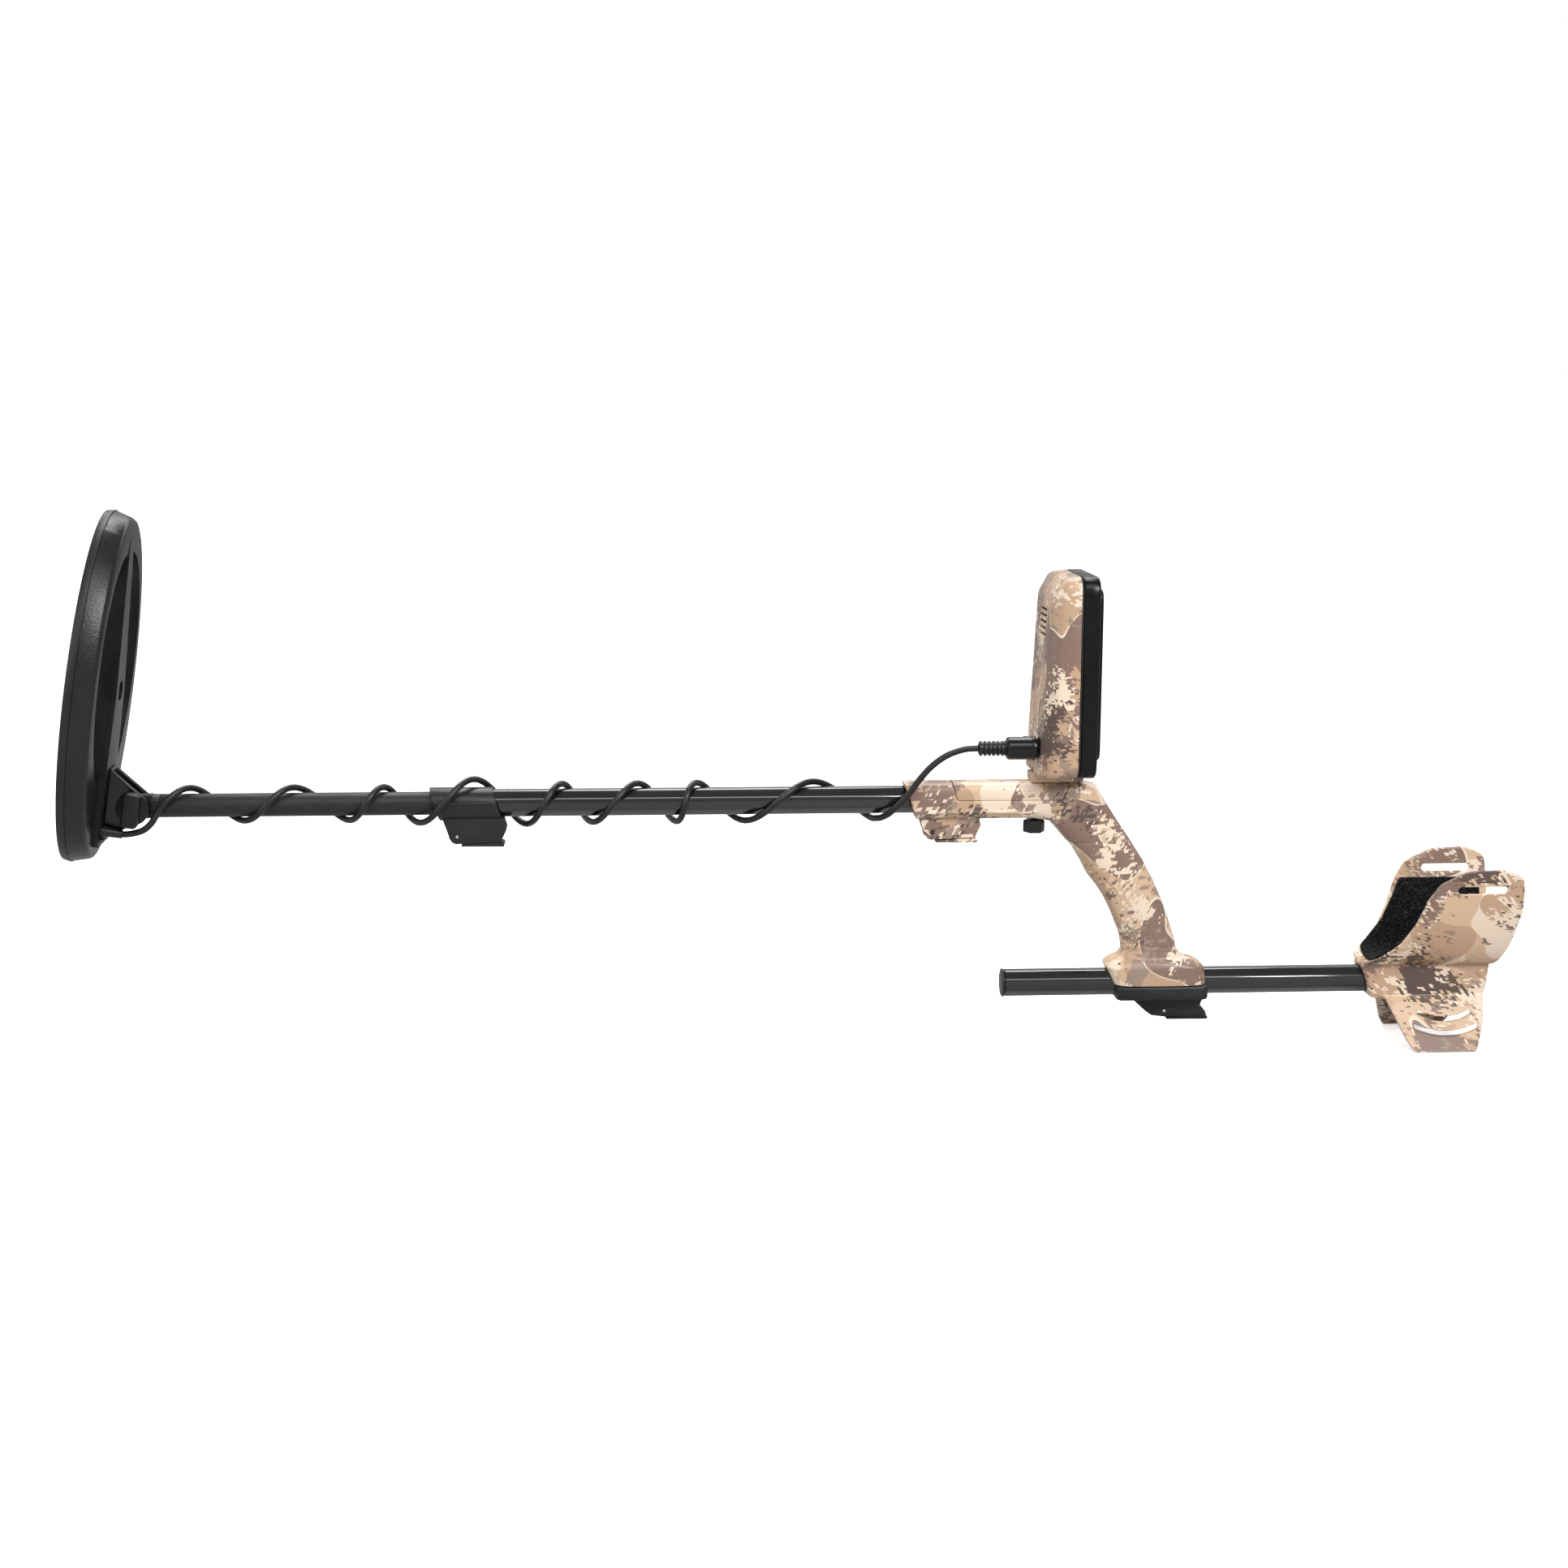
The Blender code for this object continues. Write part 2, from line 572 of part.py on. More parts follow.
def make_lower_lock(frame):
    """The sleeve that joins the middle tube to the round shaft, and its cam lock."""
    bm = rod((0.0, SLEEVE_AXIS_Z), SLEEVE_RADIUS, 0.215, 0.310, "X", 28)
    sleeve = place("lower_lock_sleeve", bm, frame, "lock_black")
    top, bottom = SLEEVE_AXIS_Z + SLEEVE_RADIUS, SLEEVE_AXIS_Z - SLEEVE_RADIUS
    side = [(SLEEVE_BOTTOM_X[0], bottom - 0.001), (SLEEVE_BOTTOM_X[1], bottom - 0.001),
            (SLEEVE_TOP_X[1], top + 0.001), (SLEEVE_TOP_X[0], top + 0.001)]
    boolean(sleeve, place("sleeve_side", plate(side, -0.02, 0.02), frame, "lock_black"),
            "INTERSECT")
    cheeks = cheek_outline(LOWER_PIN, SLEEVE_BOTTOM_X[0] + 0.0015, SLEEVE_BOTTOM_X[1] + 0.0015,
                           -0.0115)
    join(sleeve, place("sleeve_cheeks", plate(cheeks, -CHEEK_OUTER_Y, CHEEK_OUTER_Y), frame,
                       "lock_black"))
    for index, y in enumerate((-1, 1)):
        low, high = sorted((y * (SLEEVE_RADIUS - 0.0006), y * (SLEEVE_RADIUS + 0.0004)))
        rib = fillet([(0.2420, -0.0002, 0.0008), (0.2800, 0.0004, 0.0008),
                      (0.2815, 0.0022, 0.0008), (0.2400, 0.0022, 0.0008)], 2)
        join(sleeve, place(f"sleeve_rib_{index}", plate(rib, low, high), frame, "lock_black"))
    x, z = LOWER_PIN
    lever_slot = place("sleeve_slot", block((0.236, -CHEEK_INNER_Y, -0.040),
                                            (0.300, CHEEK_INNER_Y, -0.0150)), frame, "lock_black")
    pad_slot = place("sleeve_pad_slot", block((x - 0.0078, -0.0052, -0.020),
                                              (x + 0.0078, 0.0052, 0.0)), frame, "lock_black")
    shaft_bore = place("sleeve_bore", rod((0, 0), LOWER_RADIUS + 0.0003, 0.20, 0.27, "X", 32),
                       frame, "lock_black")
    tube_bore = place("sleeve_seat", octagon_bar(OCTAGON_FLAT + OCTAGON_SLIP,
                                                 MIDDLE_START_X - GAP, 0.32), frame, "lock_black")
    pin_hole = place("sleeve_pin_hole", rod(LOWER_PIN, PIN_RADIUS + 0.0003, -0.02, 0.02,
                                            sides=16), frame, "lock_black")
    cut(sleeve, lever_slot, pad_slot, shaft_bore, tube_bore, pin_hole)
    make_cam_lock("lower_lock", LOWER_PIN, 0.038, frame, "lock_black", -LOWER_RADIUS - GAP,
                  CHEEK_OUTER_Y)


# ---------------------------------------------------------------- handle

# Stations along the handle, from the stem's mouth to the base: the edge on the grip's front, the edge
# on its rear, the half-width and how square the section is.
HANDLE_STATIONS = (
    ((0.6240, -0.0154), (0.6140, 0.0150), 0.0150, 3.6),
    ((0.6600, -0.0154), (0.6550, 0.0150), 0.0150, 3.6),
    ((0.7000, -0.0154), (0.7000, 0.0150), 0.0150, 3.6),
    ((0.7200, -0.0156), (0.7350, 0.0150), 0.0151, 3.4),
    ((0.7340, -0.0180), (0.7580, 0.0149), 0.0154, 3.0),
    ((0.7430, -0.0290), (0.7710, 0.0125), 0.0158, 2.7),
    ((0.7530, -0.0400), (0.7800, -0.0020), 0.0160, 2.5),
    ((0.7600, -0.0510), (0.7910, -0.0190), 0.0161, 2.4),
    ((0.7660, -0.0625), (0.8020, -0.0350), 0.0162, 2.3),
    ((0.7745, -0.0730), (0.8130, -0.0520), 0.0163, 2.3),
    ((0.7815, -0.0840), (0.8215, -0.0680), 0.0163, 2.3),
    ((0.7865, -0.0940), (0.8290, -0.0840), 0.0162, 2.3),
    ((0.7910, -0.1050), (0.8350, -0.1000), 0.0160, 2.3),
    ((0.7950, -0.1160), (0.8400, -0.1150), 0.0159, 2.3),
    ((0.7968, -0.1260), (0.8435, -0.1265), 0.0160, 2.5),
    ((0.7940, -0.1315), (0.8470, -0.1325), 0.0172, 3.0),
    ((0.7865, -0.1355), (0.8590, -0.1360), 0.0200, 4.0),
    ((0.7830, -0.1395), (0.8645, -0.1395), 0.0214, 5.0),
    ((0.7895, -0.1545), (0.8660, -0.1545), 0.0218, 5.0),
)


def signed_power(value, power):
    return (abs(value) ** power) * (1 if value >= 0 else -1)


def handle_rings(start, end, steps):
    """Superellipse sections of the handle for turns from start to end, with 0 at its front edge."""
    rings = []
    for front, rear, half_width, squareness in HANDLE_STATIONS:
        front, rear = Vector(front), Vector(rear)
        middle = (front + rear) / 2
        reach = (rear - front) / 2
        ring = []
        for step in range(steps + 1):
            t = start + (end - start) * step / steps
            along = signed_power(-cos(t), 2 / squareness)
            across = signed_power(sin(t), 2 / squareness)
            point = middle + reach * along
            ring.append((point.x, -half_width * across, point.y))
        rings.append(ring)
    return rings


def handle_skin(name, frame, start, end, steps, closed_ring):
    rings = handle_rings(start, end, steps)
    if closed_ring:
        rings = [ring[:-1] for ring in rings]
    bm = loft(rings, closed_ring)
    if not closed_ring:
        side = -1 if sin((start + end) / 2) > 0 else 1
        for vert in bm.verts:
            vert.co.y += side * GAP / 2
    skin = place(name, bm, frame, "camouflage", smooth=45)
    solidify(skin, HANDLE_WALL)
    return skin


def cover_prism(name, inset, frame):
    """The space of the stem's cover panel, drawn in by inset."""
    low, high, bottom, top = 0.6535 + inset, 0.7560 - inset, 0.0010 + inset, 0.0300
    outline = fillet([(low - 0.004, top, 0), (low + 0.0035, bottom, 0.003),
                      (high, bottom, 0.003), (high, top, 0)])
    return place(name, plate(outline, -0.03, 0.03), frame, "camouflage")


def make_handle(frame):
    left = handle_skin("handle_shell_left", frame, 0.0, pi, 12, False)
    right = handle_skin("handle_shell_right", frame, pi, 2 * pi, 12, False)
    cover = handle_skin("stem_top_cover", frame, 0.0, 2 * pi, 24, True)
    boolean(cover, cover_prism("cover_space", GAP / 2, frame), "INTERSECT")
    x, z = UPPER_PIN
    for shell, side in ((left, -1), (right, 1)):
        low, high = sorted((side * CHEEK_INNER_Y, side * CHEEK_OUTER_Y))
        cheek = cheek_outline(UPPER_PIN, 0.6262, 0.6760, -0.0135)
        join(shell, place(f"stem_cheek_{side}", plate(cheek, low, high), frame, "camouflage"))
        rib_low, rib_high = sorted((side * 0.0146, side * 0.0157))
        rib = [(0.6240, -0.0098), (0.7180, -0.0098), (0.7230, -0.0090), (0.7180, -0.0082),
               (0.6235, -0.0082)]
        join(shell, place(f"stem_ridge_{side}", plate(rib, rib_low, rib_high), frame,
                          "camouflage"))
        cut(shell,
            place(f"other_half_{side}", block((0.5, min(-side * 0.05, side * GAP / 2), -0.2),
                                              (0.9, max(-side * 0.05, side * GAP / 2), 0.1)),
                  frame, "camouflage"),
            cover_prism(f"panel_cut_{side}", -GAP / 2, frame),
            place(f"stem_pad_slot_{side}", block((x - 0.0078, -0.0052, -0.022),
                                                 (x + 0.0078, 0.0052, 0.0)), frame, "camouflage"),
            place(f"stem_pin_hole_{side}", rod(UPPER_PIN, PIN_RADIUS + 0.0003, -0.02, 0.02,
                                               sides=16), frame, "camouflage"),
            place(f"screw_hole_{side}", rod((SCREW_X, 0), 0.0029, -0.03, 0.03, "Z", 16), frame,
                  "camouflage"),
            place(f"arm_tube_cut_{side}", octagon_bar(OCTAGON_FLAT + OCTAGON_SLIP, 0.75, 0.90,
                                                      ARM_AXIS_Z), frame, "camouflage"))
    cut(cover, place("cover_screw_hole", rod((SCREW_X, 0), 0.0029, -0.03, 0.03, "Z", 16), frame,
                     "camouflage"))

    bushing = place("stem_bushing", octagon_bar(0.0121, 0.6265, 0.7000), frame, "lock_black")
    bore = place("bushing_bore", octagon_bar(OCTAGON_FLAT + OCTAGON_SLIP, 0.60, 0.72), frame,
                 "lock_black")
    slot = place("bushing_slot", block((x - 0.0078, -0.0052, -0.022), (x + 0.0078, 0.0052, 0.0)),
                 frame, "lock_black")
    cut(bushing, bore, slot)
    make_cam_lock("upper_lock", UPPER_PIN, 0.0375, frame, "camouflage", -OCTAGON_FLAT - GAP,
                  CHEEK_OUTER_Y)


def make_thumb_screw(frame):
    """A lobed knob under the stem, whose shank holds the display's foot."""
    pivot = frame_empty("thumb_screw_axis", (SCREW_X, 0, 0), parent=frame)
    lobes = 6
    outline = []
    for step in range(36):
        t = 2 * pi * step / 36
        radius = 0.0083 + 0.0006 * cos(lobes * t)
        outline.append((radius * cos(t), radius * sin(t)))
    knob = place("thumb_screw", plate(outline, -0.0280, -0.0178, "Z"), pivot, "knob_black")
    bevel(knob, 0.0009, 1, 60)
    neck = place("screw_neck", rod((0, 0), 0.0045, -0.0190, -0.0173, "Z", 20), pivot,
                 "knob_black")
    shank = place("screw_shank", rod((0, 0), 0.0024, -0.0190, 0.0190, "Z", 12), pivot,
                  "knob_black")
    join(knob, neck, shank)


def make_base_clamp(frame):
    """The lower half of the arm tube's clamp, with the cheeks of its cam lock."""
    outline = fillet([(0.7905, -0.0213, 0.006), (0.8670, -0.0213, 0.006),
                      (0.8670, 0.0213, 0.006), (0.7905, 0.0213, 0.006)])
    clamp = place("base_clamp_lower", plate(outline, CLAMP_BOTTOM_Z, ARM_AXIS_Z - GAP, "Z"),
                  frame, "lock_black")
    bevel(clamp, 0.0022, 2, 60)
    x, z = BASE_PIN
    cheek = [(0.8035, -0.1660), (0.8165, -0.1780), (0.8220, -0.1820), (0.8290, -0.1830),
             (0.8655, -0.1826), (0.8685, -0.1822), (0.8670, -0.1785), (0.8625, -0.1750),
             (0.8640, -0.1705), (0.8665, -0.1660)]
    for side in (-1, 1):
        low, high = sorted((side * CHEEK_INNER_Y, side * CHEEK_OUTER_Y))
        join(clamp, place(f"base_cheek_{side}", plate(cheek, low, high), frame, "lock_black"))
    front = [(0.8035, -0.1660), (0.8165, -0.1780), (0.8180, -0.1790), (0.8200, -0.1760),
             (0.8190, -0.1660)]
    join(clamp, place("base_nose", plate(front, -0.0060, 0.0060), frame, "lock_black"))
    cut(clamp,
        place("clamp_channel", octagon_bar(OCTAGON_FLAT + OCTAGON_SLIP, 0.75, 0.90, ARM_AXIS_Z),
              frame, "lock_black"),
        place("clamp_pad_slot", block((x - 0.0078, -0.0052, -0.172), (x + 0.0078, 0.0052, -0.16)),
              frame, "lock_black"),
        place("clamp_pin_hole", rod(BASE_PIN, PIN_RADIUS + 0.0003, -0.02, 0.02, sides=16), frame,
              "lock_black"))
    make_cam_lock("base_lock", BASE_PIN, 0.0375, frame, "lock_black",
                  ARM_AXIS_Z - OCTAGON_FLAT - GAP, LEVER_HALF_Y)


# ---------------------------------------------------------------- arm tube and armrest

def make_arm(frame):
    octagon_tube("arm_tube", ARM_START_X, ARM_END_X, ARM_AXIS_Z, frame, "tube_gloss")
    cap = place("arm_tube_cap", octagon_bar(OCTAGON_FLAT - TUBE_WALL - GAP, 0.6980, 0.7120,
                                            ARM_AXIS_Z), frame, "lock_black")
    flange = place("cap_flange", octagon_bar(OCTAGON_FLAT + 0.0003, 0.6972,
                                             ARM_START_X - GAP, ARM_AXIS_Z), frame, "lock_black")
    bevel(flange, 0.0006, 1)
    join(cap, flange)


TROUGH = ((0.0, -0.1392), (0.0095, -0.1386), (0.0180, -0.1358), (0.0250, -0.1300),
          (0.0310, -0.1205), (0.0360, -0.1085), (0.0400, -0.0950), (0.0435, -0.0800),
          (0.0462, -0.0650), (0.0480, -0.0450))
LEG = ((0.0120, -0.1655), (0.0180, -0.1720), (0.0260, -0.1830), (0.0360, -0.1960),
       (0.0480, -0.2120))
WING_SIDE = ((0.9975, -0.1400, 0.002), (0.9990, -0.1368, 0.002), (1.0070, -0.1320, 0.006),
             (1.0220, -0.1180, 0.012), (1.0320, -0.1000, 0.015), (1.0390, -0.0800, 0.012),
             (1.0480, -0.0655, 0.012), (1.0700, -0.0550, 0.012), (1.0990, -0.0535, 0.010),
             (1.1180, -0.0600, 0.012), (1.1190, -0.0900, 0.010), (1.1130, -0.1210, 0.010),
             (1.1050, -0.1460, 0.006), (1.1000, -0.1500, 0.0))
LEG_SIDE = ((1.0010, -0.1600, 0.0), (1.0130, -0.1600, 0.004), (1.0290, -0.1985, 0.006),
            (1.0350, -0.2075, 0.003), (1.0860, -0.2075, 0.006), (1.0960, -0.1860, 0.006),
            (1.1020, -0.1600, 0.0))


def section_skin(name, half_section, low, high, frame, slot, both=True):
    """An open sheet that runs along X with the given (y, z) half section, mirrored if both."""
    section = list(half_section)
    if both:
        section = [(-y, z) for y, z in reversed(half_section[1:])] + section
    steps = 6
    rings = [[(low + (high - low) * i / steps, y, z) for y, z in section]
             for i in range(steps + 1)]
    return place(name, loft(rings, closed_ring=False), frame, slot, smooth=50)


def smooth_section(points, steps=2):
    """Catmull-Rom points through a section."""
    padded = [points[0], *points, points[-1]]
    out = []
    for i in range(1, len(padded) - 2):
        a, b, c, d = (Vector(p) for p in padded[i - 1:i + 3])
        for step in range(steps):
            t = step / steps
            p = 0.5 * ((2 * b) + (c - a) * t + (2 * a - 5 * b + 4 * c - d) * t * t
                       + (3 * b - a - 3 * c + d) * t ** 3)
            out.append((p.x, p.y))
    out.append(points[-1])
    return out


def offset_section(points, distance):
    """A section moved sideways, towards its inner side."""
    moved = []
    for i, (y, z) in enumerate(points):
        before = Vector(points[max(i - 1, 0)])
        after = Vector(points[min(i + 1, len(points) - 1)])
        along = (after - before).normalized()
        moved.append((y - along.y * distance, z + along.x * distance))
    moved[0] = (0.0, points[0][1] + distance)
    return moved


def crescent(x, z, half, sag, height):
    """Outline of a curved slot, ends rounded."""
    lower = [(x + half * (i / 6 - 1), z - sag * (1 - (i / 6 - 1) ** 2)) for i in range(13)]
    upper = [(px, pz + height) for px, pz in reversed(lower)]
    return lower + upper


def make_armrest(frame):
    section = smooth_section(TROUGH)
    cuff = section_skin("armrest_cuff", section, 0.985, 1.130, frame, "camouflage")
    solidify(cuff, CUFF_WALL, 1.0)
    wing_side = place("wing_side", plate(fillet(list(WING_SIDE), 3), -0.07, 0.07), frame,
                      "camouflage")
    boolean(cuff, wing_side, "INTERSECT")

    housing_side = [(0.9965, -0.1402), (1.0045, -0.1690), (1.1000, -0.1690), (1.1030, -0.1600),
                    (1.1050, -0.1402)]
    housing = place("housing", plate(housing_side, -0.0148, 0.0148), frame, "camouflage")
    bevel(housing, 0.0030, 2, 60)
    join(cuff, housing)
    leg_section = smooth_section(LEG, 2)
    leg_side = fillet(list(LEG_SIDE), 3)
    for side in (-1, 1):
        half = [(side * y, z) for y, z in leg_section]
        leg = section_skin(f"leg_{side}", half, 0.990, 1.120, frame, "camouflage", both=False)
        solidify(leg, CUFF_WALL, 0.0)
        boolean(leg, place(f"leg_side_{side}", plate(leg_side, -0.07, 0.07), frame, "camouflage"),
                "INTERSECT")
        join(cuff, leg)
    bore = place("cuff_bore", octagon_bar(OCTAGON_FLAT + OCTAGON_SLIP, 0.98, 1.0988, ARM_AXIS_Z),
                 frame, "camouflage")
    strap = place("strap_slots", plate(fillet([(1.0630, -0.0740, 0.0025), (1.1040, -0.0740, 0.0025),
                                               (1.1040, -0.0680, 0.0025),
                                               (1.0630, -0.0680, 0.0025)], 3), -0.07, 0.07),
                  frame, "camouflage")
    floor = place("floor_cut", block((0.95, -0.08, FOOT_Z - 0.03), (1.15, 0.08, FOOT_Z)), frame,
                  "camouflage")
    bolt_hole = place("cuff_bolt_hole", rod((ARM_BOLT_X, 0), 0.0030, -0.16, -0.13, "Z", 16), frame,
                      "camouflage")
    bolt_seat = place("cuff_bolt_seat", rod((ARM_BOLT_X, 0), 0.0056, ARM_BOLT_SEAT_Z, -0.13, "Z",
                                            16), frame, "camouflage")
    cut(cuff, bore, strap, floor, bolt_hole, bolt_seat)
    for index, (z, half) in enumerate(((-0.1800, 0.0225), (-0.1900, 0.0270))):
        cut(cuff, place(f"leg_slot_{index}", plate(crescent(1.0640, z, half, 0.0055, 0.0033),
                                                   -0.07, 0.07), frame, "camouflage"))

    inner = offset_section(section, 0.0004)
    pad = section_skin("armrest_pad", inner, 0.985, 1.130, frame, "pad_black")
    solidify(pad, 0.0028, -1.0)
    pad_side = fillet([(1.0045, -0.1450, 0.0), (1.0045, -0.1320, 0.004), (1.0120, -0.1260, 0.006),
                       (1.0260, -0.1120, 0.010), (1.0360, -0.0940, 0.010),
                       (1.0430, -0.0785, 0.002), (1.1115, -0.0785, 0.004),
                       (1.1120, -0.0950, 0.008), (1.1040, -0.1200, 0.008),
                       (1.0980, -0.1450, 0.0)], 3)
    boolean(pad, place("pad_side", plate(pad_side, -0.07, 0.07), frame, "pad_black"), "INTERSECT")

    top = ARM_BOLT_SEAT_Z + GAP + 0.0010
    head = [(0.0, top), (0.0052, top), (0.0052, top - 0.0010), (0.0026, top - 0.0010),
            (0.0026, -0.1434), (0.0, -0.1434)]
    turned("armrest_bolt", head, frame, "zinc", 16, axis="Z", at=(ARM_BOLT_X, 0.0, 0.0))


# ---------------------------------------------------------------- display unit

def rounded_rect(half_y, low_z, high_z, radius, steps=5, low_radius=None):
    low = low_radius or radius
    return fillet([(-half_y, low_z, low), (half_y, low_z, low), (half_y, high_z, radius),
                   (-half_y, high_z, radius)], steps)


def display_rings(*rings):
    """Rings of (x at the bottom, x at the top, half width, low z, high z, radii below, above)."""
    made = []
    for low_x, high_x, half_y, low_z, high_z, low_radius, radius in rings:
        ring = []
        for y, z in rounded_rect(half_y, low_z, high_z, radius, low_radius=low_radius):
            share = (z - low_z) / (high_z - low_z)
            ring.append((low_x + (high_x - low_x) * share, y, z))
        made.append(ring)
    return made


def make_rear_case(frame):
    rings = display_rings(
        (0.7488, 0.7488, CASE_HALF_Y, CASE_BOTTOM_Z, CASE_TOP_Z, 0.014, 0.014),
        (0.7300, 0.7390, CASE_HALF_Y - 0.0012, CASE_BOTTOM_Z, CASE_TOP_Z - 0.0010, 0.009, 0.014),
        (0.7270, 0.7355, CASE_HALF_Y - 0.0030, CASE_BOTTOM_Z, CASE_TOP_Z - 0.0035, 0.007, 0.013),
        (0.7200, 0.7275, 0.0335, CASE_BOTTOM_Z + 0.0003, CASE_TOP_Z - 0.0150, 0.004, 0.009))
    bm = loft(rings)
    back_edges = [edge for edge in bm.edges if edge.is_boundary
                  and all(abs(v.co.y) < 0.034 for v in edge.verts)]
    bmesh.ops.holes_fill(bm, edges=back_edges)
    case = place("display_rear_case", bm, frame, "camouflage", smooth=30)
    solidify(case, 0.0024, -1.0)
    socket = place("socket_hole", rod((SOCKET_Y, SOCKET_Z), 0.0088, 0.70, 0.745, "X"), frame,
                   "camouflage")
    aux = place("aux_hole", rod((-SOCKET_Y, AUX_Z), 0.0078, 0.70, 0.745, "X"), frame,
                "camouflage")
    screw = place("case_screw_hole", block((0.7190, -0.0030, 0.018), (0.7252, 0.0030, 0.026)),
                  frame, "camouflage")
    cut(case, socket, aux, screw)
    for index in range(5):
        z = 0.1340 + 0.0050 * index
        cut(case, place(f"speaker_slot_{index}", block((0.70, -0.0140, z), (0.742, 0.0140,
                                                                            z + 0.0022)),
                        frame, "camouflage"))


def make_display_foot(frame):
    outline = fillet([(0.7175, -0.0135, 0.003), (0.7600, -0.0135, 0.003),
                      (0.7600, 0.0135, 0.003), (0.7175, 0.0135, 0.003)])
    foot = place("display_foot", plate(outline, 0.0153, CASE_BOTTOM_Z - GAP, "Z"), frame,
                 "camouflage")
    cut(foot, place("foot_thread", rod((SCREW_X, 0), 0.0027, 0.010, 0.0200, "Z", 16), frame,
                    "camouflage"),
        place("foot_relief", handle_relief(), frame, "camouflage"))


def handle_relief():
    """Clears the foot's rear from the handle's rounded shoulder."""
    return block((0.7500, -0.02, 0.0140), (0.7700, 0.02, 0.0158))


def make_bezel(frame):
    edge = rounded_rect(CASE_HALF_Y, CASE_BOTTOM_Z, CASE_TOP_Z, 0.014)
    bezel = place("display_bezel", plate(edge, 0.7508, BEZEL_FRONT_X, "X"), frame, "bezel_black")
    bevel(bezel, 0.0018, 2, 60)
    raised = place("bezel_panel", plate(rounded_rect(0.0405, 0.0360, 0.1740, 0.010), 0.7600,
                                        PANEL_FRONT_X, "X"), frame, "bezel_black")
    bevel(raised, 0.0016, 2, 60)
    join(bezel, raised)
    pocket = place("bezel_pocket", plate(rounded_rect(0.0440, 0.0250, 0.1810, 0.012), 0.74,
                                         0.7618, "X"), frame, "bezel_black")
    window = place("window_opening", plate(rounded_rect(0.0340, 0.0880, 0.1660, 0.004), 0.74,
                                           0.78, "X"), frame, "bezel_black")
    keys = place("keypad_opening", plate(rounded_rect(0.0340, 0.0420, 0.0820, 0.004), 0.74, 0.78,
                                         "X"), frame, "bezel_black")
    cut(bezel, pocket, window, keys)

    gasket = place("display_gasket", plate(rounded_rect(0.0464, 0.0226, 0.1834, 0.0136), 0.7495,
                                           0.7504, "X"), frame, "washer_rubber")
    cut(gasket, place("gasket_hole", plate(rounded_rect(0.0450, 0.0240, 0.1820, 0.0125), 0.74,
                                           0.76, "X"), frame, "washer_rubber"))
    place("lcd_window", plate(rounded_rect(0.0337, 0.0883, 0.1657, 0.0038), 0.7648, 0.7668, "X"),
          frame, "window_clear")
    place("lcd_panel", plate(rounded_rect(0.0325, 0.0895, 0.1645, 0.002), 0.7618, 0.7645, "X"),
          frame, "lcd_grey")


# Keys: name, y, z, half-width, half-height
KEYS = (("power_button", 0.0, 0.0500, 0.0065, 0.0040),
        ("up_button", 0.0, 0.0745, 0.0065, 0.0040),
        ("left_button", -0.0215, 0.0622, 0.0065, 0.0042),
        ("right_button", 0.0215, 0.0622, 0.0065, 0.0042),
        ("mode_button", -0.0215, 0.0500, 0.0065, 0.0040),
        ("pinpoint_button", 0.0, 0.0622, 0.0075, 0.0042))
KEY_FRONT_X = 0.7683
KEY_REAR_X = 0.7632


def make_keypad(frame):
    panel = place("keypad_panel", plate(rounded_rect(0.0337, 0.0423, 0.0817, 0.0038), 0.7650,
                                        0.7668, "X"), frame, "bezel_black")
    for name, y, z, half_y, half_z in KEYS:
        hole = fillet([(y - half_y - 0.0004, z - half_z - 0.0004, 0.0016),
                       (y + half_y + 0.0004, z - half_z - 0.0004, 0.0016),
                       (y + half_y + 0.0004, z + half_z + 0.0004, 0.0016),
                       (y - half_y - 0.0004, z + half_z + 0.0004, 0.0016)], 3)
        cut(panel, place(f"{name}_hole", plate(hole, 0.75, 0.78, "X"), frame, "bezel_black"))
        pivot = frame_empty(f"{name}_axis", (KEY_REAR_X, y, z), parent=frame)
        key = fillet([(-half_y, -half_z, 0.0013), (half_y, -half_z, 0.0013),
                      (half_y, half_z, 0.0013), (-half_y, half_z, 0.0013)], 3)
        place(name, plate(key, 0.0, KEY_FRONT_X - KEY_REAR_X, "X"), pivot, "key_grey")


def make_electronics(frame):
    place("circuit_board", plate(rounded_rect(0.0400, 0.0300, 0.1755, 0.006), 0.7590, 0.7606,
                                 "X"), frame, "board_green")
    holder = place("battery_pack", block((0.7340, -0.0290, 0.0620), (0.7545, 0.0290, 0.1250)),
                   frame, "battery_blue")
    bevel(holder, 0.0030, 2, 60)
    profile = [(0.0, 0.0085), (0.0080, 0.0085), (0.0095, 0.0040), (0.0165, 0.0022),
               (0.0165, 0.0), (0.0, 0.0)]
    turned("speaker", profile, frame, "speaker_grey", 28, axis="X", at=(0.7365, 0.0, 0.1475))


def make_connectors(frame):
    profile = [(0.0056, 0.0), (0.0084, 0.0), (0.0084, 0.0108), (0.0, 0.0108), (0.0, 0.0088),
               (0.0056, 0.0088), (0.0056, 0.0)]
    turned("coil_socket", profile, frame, "lock_black", 24, axis="X",
           at=(0.7242, SOCKET_Y, SOCKET_Z))
    cap = [(0.0, 0.0130), (0.0074, 0.0130), (0.0074, 0.0040), (0.0095, 0.0030), (0.0098, 0.0),
           (0.0, 0.0)]
    turned("aux_socket_cap", cap, frame, "cable_rubber", 24, axis="X",
           at=(0.7158, -SOCKET_Y, AUX_Z))


# ---------------------------------------------------------------- coil cable

